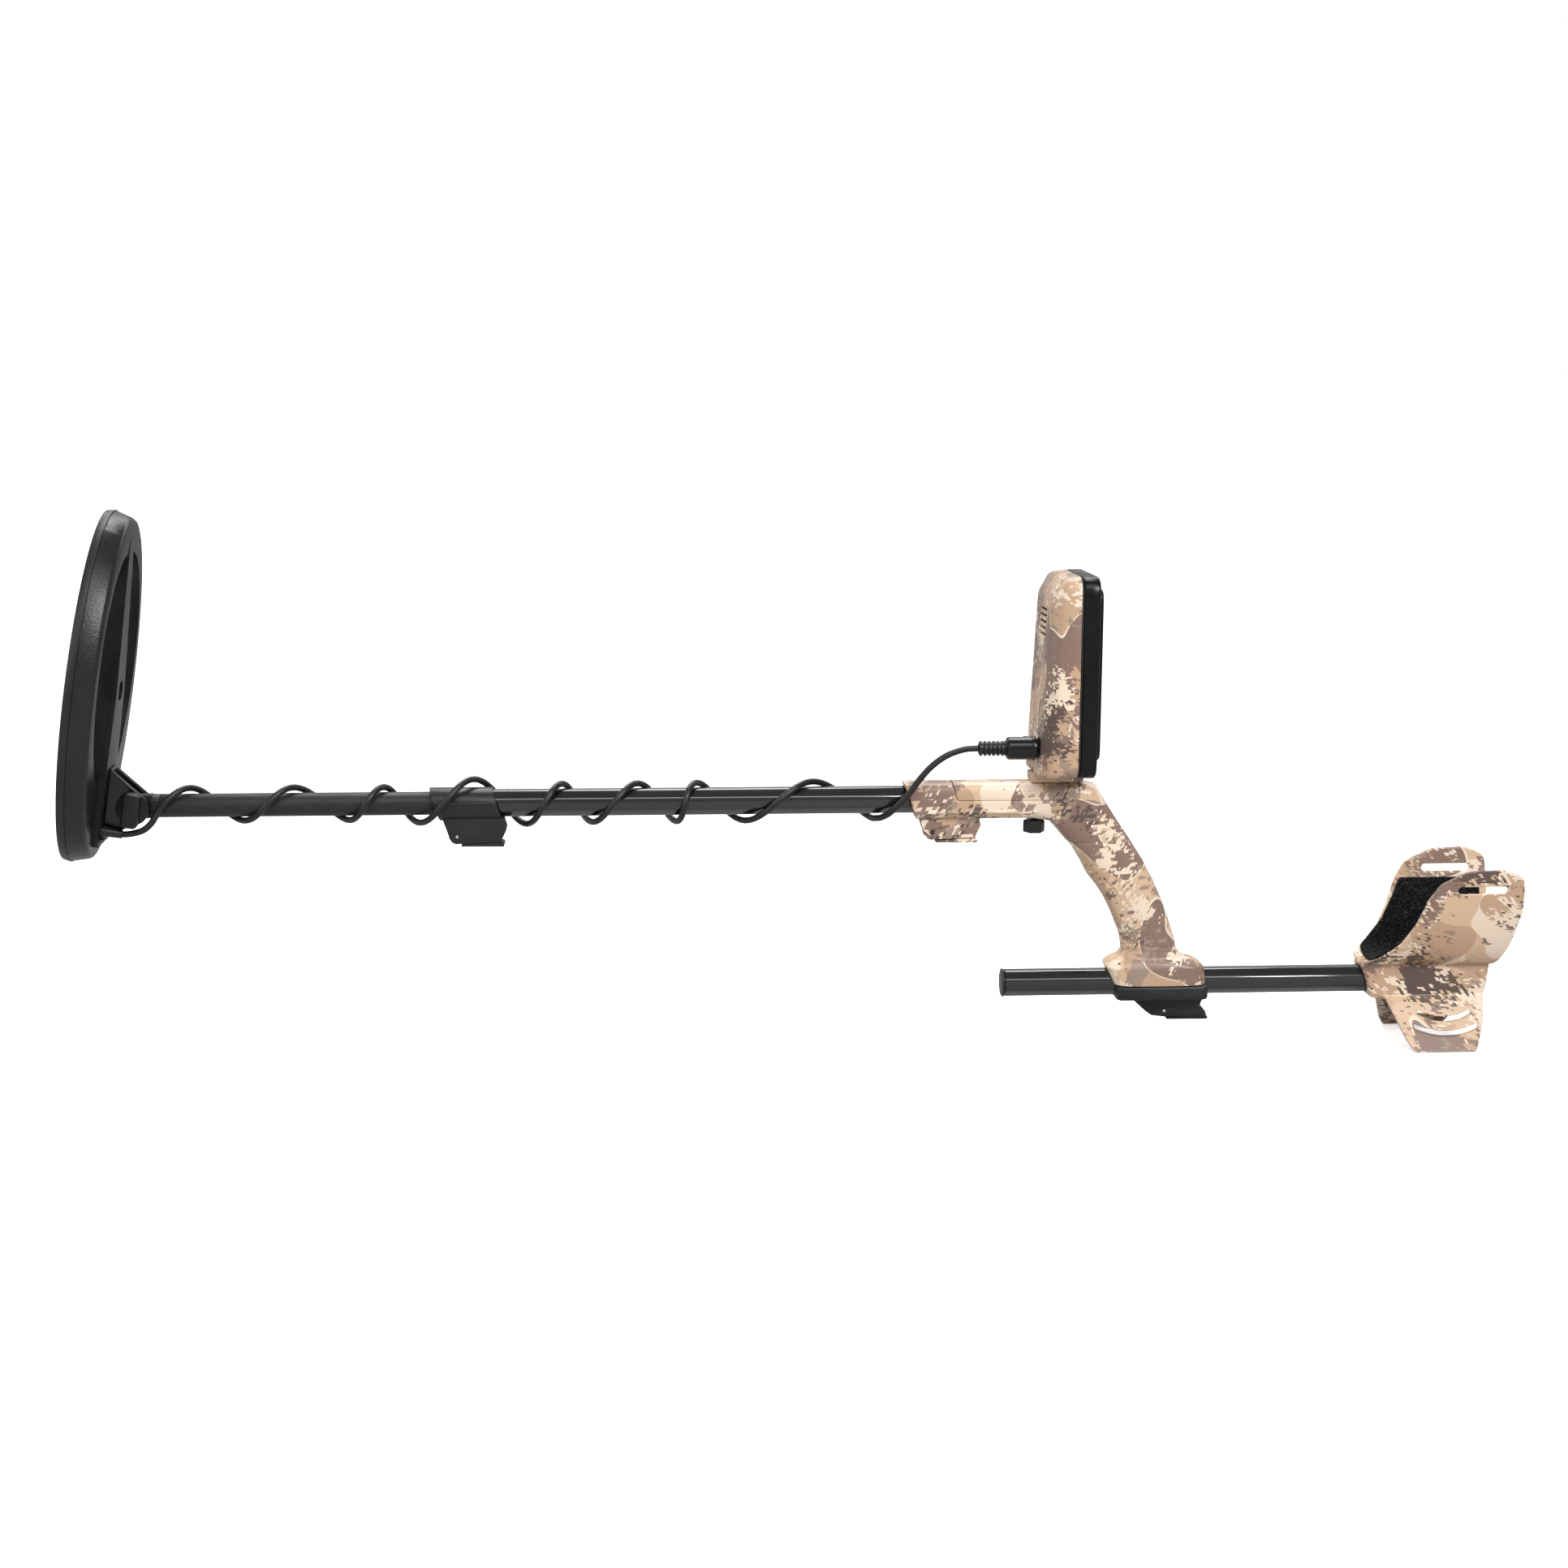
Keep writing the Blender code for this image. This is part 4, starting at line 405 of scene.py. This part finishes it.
def smoothing_group(angle):
    """Shades smooth, apart from edges sharper than angle."""
    group, start, end = new_interface("smooth_by_angle")
    faces = group.nodes.new("GeometryNodeSetShadeSmooth")
    edges = group.nodes.new("GeometryNodeSetShadeSmooth")
    edges.domain = "EDGE"
    edges.inputs["Shade Smooth"].default_value = False
    edge_angle = group.nodes.new("GeometryNodeInputMeshEdgeAngle")
    compare = group.nodes.new("FunctionNodeCompare")
    compare.operation = "GREATER_THAN"
    compare.inputs["B"].default_value = angle
    group.links.new(start.outputs[0], faces.inputs["Geometry"])
    group.links.new(faces.outputs[0], edges.inputs["Geometry"])
    group.links.new(edge_angle.outputs["Unsigned Angle"], compare.inputs["A"])
    group.links.new(compare.outputs["Result"], edges.inputs["Selection"])
    group.links.new(edges.outputs[0], end.inputs[0])
    return group


EDGE_ROUND = 0.0004          # usual radius of a moulded edge
SHARP_ANGLE = radians(38)
WELD_DISTANCE = 1e-6
WELD = welding_group()
SMOOTH = smoothing_group(SHARP_ANGLE)


def soften(obj):
    obj.modifiers.new("weld", "NODES").node_group = WELD
    bevel = obj.modifiers.new("round_edges", "BEVEL")
    bevel.width = EDGE_ROUND
    bevel.segments = 2
    bevel.limit_method = "ANGLE"
    bevel.angle_limit = SHARP_ANGLE
    obj.modifiers.new("shade", "NODES").node_group = SMOOTH


def dress_frame():
    """Each CAD node gets its slot's material and softened edges; the upper lock pin instead gets a dark
    material, which paints in the shade it sits in.
    """
    slots = {part["node"]: part["material_slot"] for part in frame["record"]["subparts"]}
    for name, obj in NODES.items():
        slot = slots[name]
        if slot == "camouflage":
            body = obj["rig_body"]
            chosen = CAMOUFLAGE["case" if name in CASE_NODES else "arm" if body == "arm" else "handle"]
        else:
            # The upper lock pin gets a dark material in place of its zinc slot: painted shade.
            chosen = MATERIALS["pin_in_painted_shade" if name == "upper_lock_pin" else slot]
        obj.data.materials.clear()
        obj.data.materials.append(chosen)
        soften(obj)


# ---------------------------------------------------------------- camera, lights, floor

def make_camera():
    data = bpy.data.cameras.new("camera")
    data.sensor_width = SENSOR_WIDTH
    data.lens = CAMERA_LENS
    camera = bpy.data.objects.new("camera", data)
    forward = Vector((sin(CAMERA_YAW) * cos(CAMERA_DIP), cos(CAMERA_YAW) * cos(CAMERA_DIP),
                      -sin(CAMERA_DIP)))
    level = Vector((cos(CAMERA_YAW), -sin(CAMERA_YAW), 0.0))
    right = cos(CAMERA_ROLL) * level + sin(CAMERA_ROLL) * level.cross(forward)
    turn = Matrix((right, right.cross(forward), -forward)).transposed()
    camera.matrix_world = Matrix.Translation(CAMERA_PLACE) @ turn.to_4x4()
    bpy.context.scene.collection.objects.link(camera)
    bpy.context.scene.camera = camera


def area_light(name, place, target, size, power):
    data = bpy.data.lights.new(name, "AREA")
    data.shape = "RECTANGLE"
    data.size, data.size_y = size
    data.energy = power
    light = bpy.data.objects.new(name, data)
    light.location = place
    light.rotation_euler = (Vector(target) - Vector(place)).to_track_quat("-Z", "Y").to_euler()
    bpy.context.scene.collection.objects.link(light)


def make_lights():
    middle = (0.0, 0.0, 0.2)
    area_light("left_softbox", (-1.7, -1.3, 0.9), (-0.4, 0.0, 0.25), (0.4, 0.8), 5.0)
    area_light("right_softbox", (1.1, -1.6, 1.3), (-0.5, 0.0, 0.3), (0.45, 0.45), 20.0)
    area_light("front_softbox", (0.0, -1.5, 1.7), middle, (2.8, 0.8), 26.0)
    area_light("sole_softbox", (-2.2, 0.7, 0.9), (-0.58, 0.0, 0.3), (0.6, 0.9), 9.0)
    area_light("rim_strip", (0.0, 0.9, 1.1), middle, (2.2, 0.25), 7.0)
    sun = bpy.data.lights.new("overhead", "SUN")
    sun.energy = 1.7
    sun.angle = radians(34)
    lamp = bpy.data.objects.new("overhead", sun)
    lamp.rotation_euler = (radians(-24), 0.0, 0.0)
    bpy.context.scene.collection.objects.link(lamp)


def make_world():
    """A white backdrop to the camera. It lights the object more softly, and is greyer overhead."""
    world = bpy.data.worlds.new("studio")
    world.use_nodes = True
    nodes, links = world.node_tree.nodes, world.node_tree.links
    direction = nodes.new("ShaderNodeTexCoord")
    axes = nodes.new("ShaderNodeSeparateXYZ")
    shade = nodes.new("ShaderNodeMapRange")
    shade.interpolation_type = "SMOOTHSTEP"
    for key, value in (("From Min", 0.18), ("From Max", 0.55), ("To Min", 0.50), ("To Max", 0.22)):
        shade.inputs[key].default_value = value
    ray = nodes.new("ShaderNodeLightPath")
    seen = nodes.new("ShaderNodeMapRange")
    seen.inputs["To Max"].default_value = 1.02
    background = nodes["Background"]
    background.inputs["Color"].default_value = (1.0, 1.0, 1.0, 1.0)
    links.new(direction.outputs["Generated"], axes.inputs[0])
    links.new(axes.outputs["Z"], shade.inputs["Value"])
    links.new(ray.outputs["Is Camera Ray"], seen.inputs["Value"])
    links.new(shade.outputs["Result"], seen.inputs["To Min"])
    links.new(seen.outputs["Result"], background.inputs["Strength"])
    bpy.context.scene.world = world
    bpy.context.scene.view_settings.view_transform = "Standard"


FLOOR_HALF = 40.0
FLOOR_Z = -0.0005            # just under the feet


def make_floor():
    """Pale paper, lit from below like a light table where the camera sees it."""
    bm = bmesh.new()
    bm.faces.new([bm.verts.new((x * FLOOR_HALF, y * FLOOR_HALF, FLOOR_Z))
                  for x, y in ((-1, -1), (1, -1), (1, 1), (-1, 1))])
    mesh = bpy.data.meshes.new("floor")
    bm.to_mesh(mesh)
    bm.free()
    s = Shading("floor_paper")
    fibres = s.noise(60.0, detail=5.0)
    seen = s.node("ShaderNodeLightPath").outputs["Is Camera Ray"]
    paper = s.mix(fibres, (0.93, 0.93, 0.93), (0.96, 0.96, 0.96))
    s.finish(Base_Color=s.mix(seen, (0.38, 0.38, 0.38), paper), Roughness=0.9, Specular_IOR_Level=0.1,
             Emission_Color=(1.0, 1.0, 1.0), Emission_Strength=s.spread(seen, 0.0, 1.0, 0.03, 0.60))
    mesh.materials.append(s.material)
    floor = bpy.data.objects.new("floor", mesh)
    bpy.context.scene.collection.objects.link(floor)


# ---------------------------------------------------------------- coil cable

def catmull(points):
    """A smooth line through points."""
    padded = [points[0], *points, points[-1]]
    out = []
    for i in range(1, len(padded) - 2):
        a, b, c, d = (Vector(p) for p in padded[i - 1:i + 3])
        for step in range(ROUTE_STEPS):
            t = step / ROUTE_STEPS
            out.append(0.5 * ((2 * b) + (c - a) * t + (2 * a - 5 * b + 4 * c - d) * t * t
                              + (3 * b - a - 3 * c + d) * t ** 3))
    out.append(Vector(points[-1]))
    return out


def helix_x(turns):
    """Shaft position of the cable after a number of half turns, smooth between the listed ones."""
    index = min(max(int(turns), 0), len(HALF_TURN_X) - 2)
    t = turns - index
    before = HALF_TURN_X[max(index - 1, 0)]
    after = HALF_TURN_X[min(index + 2, len(HALF_TURN_X) - 1)]
    here, following = HALF_TURN_X[index], HALF_TURN_X[index + 1]
    start_slope = (following - before) / 2
    end_slope = (after - here) / 2
    return (here * (2 * t ** 3 - 3 * t ** 2 + 1) + following * (3 * t ** 2 - 2 * t ** 3)
            + start_slope * (t ** 3 - 2 * t ** 2 + t) + end_slope * (t ** 3 - t ** 2))


def helix_radius(turns):
    """The cable's distance from the shaft's axis: it rises over the lock and hangs a little loose."""
    over_lock = max(0.0, 1.0 - abs(turns - LOCK_TURN) / LOCK_SPAN)
    on_middle = 1.0 if turns > 7.0 else 0.0
    loose = SLACK * sin(turns * 1.7) ** 2
    rest = ROUND_SHAFT_REACH + on_middle * TUBE_EXTRA_REACH
    return rest + loose + (LOCK_REACH - rest) * (3 * over_lock ** 2 - 2 * over_lock ** 3)


def helix_points(start, end):
    """Points of the helix between two counts of half turns, which begin at the bottom."""
    count = max(2, int((end - start) * HELIX_STEPS))
    points = []
    for step in range(count + 1):
        turns = start + (end - start) * step / count
        angle = pi * (turns + 1)
        radius = helix_radius(turns)
        points.append(Vector((helix_x(turns), radius * sin(angle), radius * cos(angle))))
    return points


def sweep(name, points, radius, sides, material, flat_loop=False):
    """A round tube along points, whose rings are carried along without twisting.

    With flat_loop, the points are a closed loop across Y, and the tube has no ends.
    """
    count = len(points)
    if flat_loop:
        tangents = [(points[(i + 1) % count] - points[i - 1]).normalized() for i in range(count)]
        across = Vector((0, 1, 0))
    else:
        tangents = [(points[min(i + 1, count - 1)] - points[max(i - 1, 0)]).normalized()
                    for i in range(count)]
        across = tangents[0].orthogonal().normalized()
    bm = bmesh.new()
    rings = []
    for i, (point, tangent) in enumerate(zip(points, tangents)):
        across = (across - tangent * across.dot(tangent)).normalized()
        up = tangent.cross(across)
        rings.append([bm.verts.new(point + radius * (cos(angle) * across + sin(angle) * up))
                      for angle in (2 * pi * k / sides for k in range(sides))])
    for first, second in zip(rings, rings[1:] + (rings[:1] if flat_loop else [])):
        for k in range(sides):
            bm.faces.new((first[k], first[(k + 1) % sides], second[(k + 1) % sides], second[k]))
    if not flat_loop:
        bm.faces.new(rings[0][::-1])
        bm.faces.new(rings[-1])
    return new_piece(name, bm, material)


def new_piece(name, bm, material, sharp=40):
    bmesh.ops.recalc_face_normals(bm, faces=bm.faces)
    mesh = bpy.data.meshes.new(name)
    bm.to_mesh(mesh)
    bm.free()
    mesh.materials.append(material)
    mesh.shade_smooth()
    mesh.set_sharp_from_angle(angle=radians(sharp))
    obj = bpy.data.objects.new(name, mesh)
    bpy.context.scene.collection.objects.link(obj)
    return obj


def make_cable():
    """The coil's cable, in stretches that meet where the moving bodies do."""
    front = catmull([(-0.0075, GLAND_Y, -0.0197), (0.0000, -0.0182, -0.0190),
                     (0.0085, -0.0180, -0.0165), (0.0145, -0.0170, -0.0115),
                     (0.0180, -0.0152, -0.0060)])
    front += helix_points(HELIX_START - HELIX_JOIN, HELIX_START)[1:]
    upper = catmull([(0.5950, -0.0070, -0.0140), (0.6010, -0.0135, -0.0095),
                     (0.6080, -0.0178, -0.0020), (0.6160, -0.0196, 0.0070),
                     (0.6250, -0.0203, 0.0195), (0.6350, -0.0203, 0.0305),
                     (0.6470, -0.0202, 0.0390), (0.6600, -0.0200, 0.0436),
                     (0.6690, SOCKET_Y, SOCKET_Z), (0.6716, SOCKET_Y, SOCKET_Z)])
    upper = helix_points(HELIX_END, HELIX_END + HELIX_JOIN)[:-1] + upper
    lower = helix_points(HELIX_START, HELIX_MIDDLE)
    middle = helix_points(HELIX_MIDDLE, HELIX_END)
    routes = {"lead_front": front, "lead_lower": lower, "lead_middle": middle, "lead_upper": upper}
    made = {}
    for name, local in routes.items():
        points = [SHAFT + point for point in local]
        piece = sweep(name, points, CABLE_RADIUS, CABLE_SIDES, MATERIALS["cable_rubber"])
        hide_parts("coil_cable_" + name.removeprefix("lead_"))
        made[name] = (piece, points)
    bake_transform(made["lead_front"][0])
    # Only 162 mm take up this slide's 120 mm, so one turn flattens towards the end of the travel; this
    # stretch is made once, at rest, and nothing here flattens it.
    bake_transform(made["lead_lower"][0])
    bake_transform(made["lead_middle"][0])
    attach(made["lead_upper"][0], "handle")


# ---------------------------------------------------------------- finer pieces made from CAD solids

def remeshed(node, name, voxel, smoothing, material):
    """A finely divided copy of a CAD node's solid, with slightly rounded edges."""
    bm = bmesh.new()
    bm.from_mesh(NODES[node].data)
    bmesh.ops.remove_doubles(bm, verts=bm.verts, dist=WELD_DISTANCE)
    coarse = bpy.data.meshes.new(name + "_coarse")
    bm.to_mesh(coarse)
    bm.free()
    obj = bpy.data.objects.new(name, coarse)
    bpy.context.scene.collection.objects.link(obj)
    remesh = obj.modifiers.new("remesh", "REMESH")
    remesh.mode = "VOXEL"
    remesh.voxel_size = voxel
    smooth = obj.modifiers.new("smooth", "SMOOTH")
    smooth.iterations = smoothing
    graph = bpy.context.evaluated_depsgraph_get()
    fine = bpy.data.meshes.new_from_object(obj.evaluated_get(graph))
    obj.modifiers.clear()
    obj.data = fine
    fine.name = name
    fine.materials.clear()
    fine.materials.append(material)
    fine.shade_smooth()
    return obj


def points_of(mesh):
    places = np.empty(len(mesh.vertices) * 3)
    mesh.vertices.foreach_get("co", places)
    normals = np.empty(len(mesh.vertices) * 3)
    mesh.vertices.foreach_get("normal", normals)
    return places.reshape(-1, 3), normals.reshape(-1, 3)


def press_in(obj, depth):
    """Moves each vertex inwards along its normal by depth, given as an array."""
    places, normals = points_of(obj.data)
    obj.data.vertices.foreach_set("co", (places - normals * depth[:, None]).ravel())
    obj.data.update()


def distance_to_line(places, points):
    """Each place's distance, in side view, from a line through shaft-frame (x, z) points."""
    flat = places[:, [0, 2]] - np.array([SHAFT.x, SHAFT.z])
    best = np.full(len(flat), 1.0)
    for start, end in zip(points, points[1:]):
        a, b = np.array(start), np.array(end)
        along = np.clip((flat - a) @ (b - a) / ((b - a) @ (b - a)), 0.0, 1.0)
        best = np.minimum(best, np.linalg.norm(flat - a - along[:, None] * (b - a), axis=1))
    return best


def smooth_line(points):
    return [(p.x, p.z) for p in catmull([(x, 0.0, z) for x, z in points])]


# Engraved lines of the grip, as (x, z) in the shaft frame
GRIP_RINGS = (((0.7500, -0.0365), (0.7700, -0.0345), (0.7877, -0.0372), (0.8080, -0.0480)),
              ((0.7880, -0.1080), (0.7981, -0.1144), (0.8074, -0.1199), (0.8206, -0.1228),
               (0.8450, -0.1240)))
GRIP_VEINS = (((0.7707, -0.0546), (0.7825, -0.0613), (0.7919, -0.0733), (0.7967, -0.0852)),
              ((0.7774, -0.0652), (0.7854, -0.0732), (0.7922, -0.0825)),
              ((0.7875, -0.0522), (0.7917, -0.0614), (0.7971, -0.0707)),
              ((0.7872, -0.0917), (0.7927, -0.1050), (0.7981, -0.1144)),
              ((0.8060, -0.0560), (0.8100, -0.0700), (0.8170, -0.0816), (0.8332, -0.1030),
               (0.8388, -0.1138)),
              ((0.7990, -0.0860), (0.8040, -0.0980), (0.8060, -0.1110)))
GROOVE_WIDTH = 0.00085
GROOVE_DEPTH = 0.00055
PAD_UNEVENNESS = 0.00006


def make_grip():
    """The handle's two shells, with the grip's engraved rings and leaf lines cut in."""
    for side in ("left", "right"):
        grip = remeshed(f"handle_shell_{side}", f"grip_{side}", 0.0008, 3, CAMOUFLAGE["handle"])
        places, _ = points_of(grip.data)
        outward = np.clip(np.abs(places[:, 1]) / 0.009 - 0.6, 0.0, 1.0)
        depth = np.zeros(len(places))
        for lines, everywhere in ((GRIP_RINGS, True), (GRIP_VEINS, False)):
            for line in lines:
                groove = np.exp(-(distance_to_line(places, smooth_line(line)) / GROOVE_WIDTH) ** 2)
                depth = np.maximum(depth, groove if everywhere else groove * outward)
        press_in(grip, GROOVE_DEPTH * depth)
        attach(grip, "handle")
        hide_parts(f"handle_shell_{side}")


def make_cuff():
    cuff = remeshed("armrest_cuff", "cuff", 0.00085, 3, CAMOUFLAGE["arm"])
    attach(cuff, "arm")
    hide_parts("armrest_cuff")


def make_pad():
    """Foam lining with a looped face: its edge is pulled in and its face is lightly uneven."""
    pad = remeshed("armrest_pad", "cuff_pad", 0.0008, 8, MATERIALS["pad_black"])
    places, _ = points_of(pad.data)
    uneven = np.sin(places[:, 0] * 900) * np.sin(places[:, 2] * 1100 + places[:, 1] * 700)
    press_in(pad, PAD_UNEVENNESS * uneven)
    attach(pad, "arm")
    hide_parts("armrest_pad")


# ---------------------------------------------------------------- small raised details

# Places in the shaft frame
RIB_OUTLINE = (0.2375, 0.2815, 0.0005, 0.0012)       # low x, high x, z and half height
RIB_RADIUS = 0.0004
DOT_COLUMNS = (0.7345, 0.7385, 0.7425)
DOT_LOW_Z, DOT_PITCH, DOT_COUNT = 0.062, 0.0034, 28
DOT_RADIUS = 0.0004


def surface_of(node):
    """A CAD node's surface, to look up places on it."""
    bm = bmesh.new()
    bm.from_mesh(NODES[node].data)
    tree = BVHTree.FromBMesh(bm)
    bm.free()
    return tree


def flank_y(surface, side, x, z):
    """Y of a surface's outermost face on one side (-1 or 1), straight across from (x, z)."""
    return surface.ray_cast(Vector((x, side * 1.0, z)), Vector((0, -side, 0)))[0].y


def make_sleeve_ribs():
    """A long raised outline on each flank of the lower lock's sleeve."""
    low_x, high_x, z, half = RIB_OUTLINE
    sleeve = surface_of("lower_lock_sleeve")
    loop = []
    for centre, start in ((high_x - half, -pi / 2), (low_x + half, pi / 2)):
        loop += [(centre + half * cos(start + pi * k / 8), z + half * sin(start + pi * k / 8))
                 for k in range(9)]
    for side, name in ((-1, "sleeve_rib_left"), (1, "sleeve_rib_right")):
        y = flank_y(sleeve, side, *at_shaft((low_x + high_x) / 2, 0.0, z + half).xz)
        rib = sweep(name, [at_shaft(x, y, rib_z) for x, rib_z in loop], RIB_RADIUS, 8,
                    MATERIALS["lock_black"], flat_loop=True)
        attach(rib, "middle_shaft")


def make_case_dots():
    """Rows of small raised dots on the display case's flanks."""
    case = surface_of("display_rear_case")
    bm = bmesh.new()
    for side in (-1, 1):
        for row, x in enumerate(DOT_COLUMNS):
            for step in range(DOT_COUNT):
                place = at_shaft(x, 0.0, DOT_LOW_Z + (step + 0.5 * (row % 2)) * DOT_PITCH)
                place.y = flank_y(case, side, place.x, place.z)
                bmesh.ops.create_icosphere(bm, subdivisions=1, radius=DOT_RADIUS,
                                           matrix=Matrix.Translation(place))
    dots = new_piece("case_dots", bm, CAMOUFLAGE["case"], 80)
    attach(dots, "handle")


# ---------------------------------------------------------------- display and key marks

def box_faces(bm, low, high):
    corners = [bm.verts.new((x, y, z)) for x in (low[0], high[0]) for y in (low[1], high[1])
               for z in (low[2], high[2])]
    for a, b, c, d in ((0, 1, 3, 2), (4, 6, 7, 5), (0, 4, 5, 1), (2, 3, 7, 6), (0, 2, 6, 4), (1, 5, 7, 3)):
        bm.faces.new((corners[a], corners[b], corners[c], corners[d]))


MARK_THICKNESS = 0.00008
MARK_SIZE = 0.0018           # half width of a key's symbol
CIRCLE_SIDES = 20


def make_display_marks():
    """Unlit segments of a plain display: a row of scale bars, two digits and a battery outline."""
    low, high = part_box("lcd_panel")
    x = high.x + 0.00002
    bm = bmesh.new()

    def bar(y, z, width, height):
        box_faces(bm, (x, y - width / 2, z - height / 2),
                  (x + MARK_THICKNESS, y + width / 2, z + height / 2))

    middle_z = (low.z + high.z) / 2
    top, bottom = high.z - 0.006, low.z + 0.006
    count = 15
    for step in range(count):
        bar(low.y + 0.0075 + step * (high.y - low.y - 0.015) / (count - 1), top - 0.008, 0.0024,
            0.004 + 0.004 * step / count)
    width, height, thick = 0.011, 0.011, 0.0018
    for centre in (-0.0085, 0.0085):
        for z in (middle_z - height, middle_z, middle_z + height):
            bar(centre, z, width - thick, thick)
        for y in (centre - width / 2, centre + width / 2):
            for z in (middle_z - height / 2, middle_z + height / 2):
                bar(y, z, thick, height - thick * 1.5)
    for step in range(4):
        bar(high.y - 0.0065, bottom + 0.0026 * step, 0.006, 0.0016)
    for step in range(5):
        bar(low.y + 0.005 + 0.0032 * step, bottom, 0.0018, 0.002 + 0.0016 * step)
    ink = Shading("lcd_ink")
    worn = ink.noise(300.0)
    marks = new_piece("display_marks", bm,
                      ink.finish(Base_Color=ink.mix(worn, (0.10, 0.11, 0.10), (0.15, 0.17, 0.14)),
                                 Roughness=0.4))
    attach(marks, "handle")


def make_key_marks():
    """A plain printed symbol on each key, which moves with it."""
    ink = Shading("key_ink")
    worn = ink.noise(500.0)
    paint = ink.finish(Base_Color=ink.mix(worn, (0.62, 0.62, 0.60), (0.75, 0.75, 0.73)), Roughness=0.5)
    ring = [(cos(angle), sin(angle))
            for angle in (2 * pi * k / CIRCLE_SIDES for k in range(CIRCLE_SIDES))]
    outlines = {"power_button": ring, "up_button": [(-1, -0.7), (1, -0.7), (0, 1)],
                "left_button": [(-1, 0), (0.8, -1), (0.8, 1)],
                "right_button": [(1, 0), (-0.8, 1), (-0.8, -1)],
                "mode_button": [(-1, -0.6), (1, -0.6), (1, 0.6), (-1, 0.6)],
                "pinpoint_button": [(-1, 0), (0, -1), (1, 0), (0, 1)]}
    for node, outline in outlines.items():
        low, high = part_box(node)
        middle = (low + high) / 2
        bm = bmesh.new()
        rows = [[bm.verts.new((x, middle.y + y * MARK_SIZE, middle.z + z * MARK_SIZE)) for y, z in outline]
                for x in (high.x - 0.0001, high.x + MARK_THICKNESS)]
        bm.faces.new(rows[0][::-1])
        bm.faces.new(rows[1])
        for k in range(len(outline)):
            following = (k + 1) % len(outline)
            bm.faces.new((rows[0][k], rows[0][following], rows[1][following], rows[1][k]))
        mark = new_piece(node.replace("button", "mark"), bm, paint)
        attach(mark, node)


make_camera()
make_cable()
make_lights()
make_world()
make_floor()
dress_frame()
make_grip()
make_cuff()
make_pad()
make_sleeve_ribs()
make_case_dots()
make_display_marks()
make_key_marks()
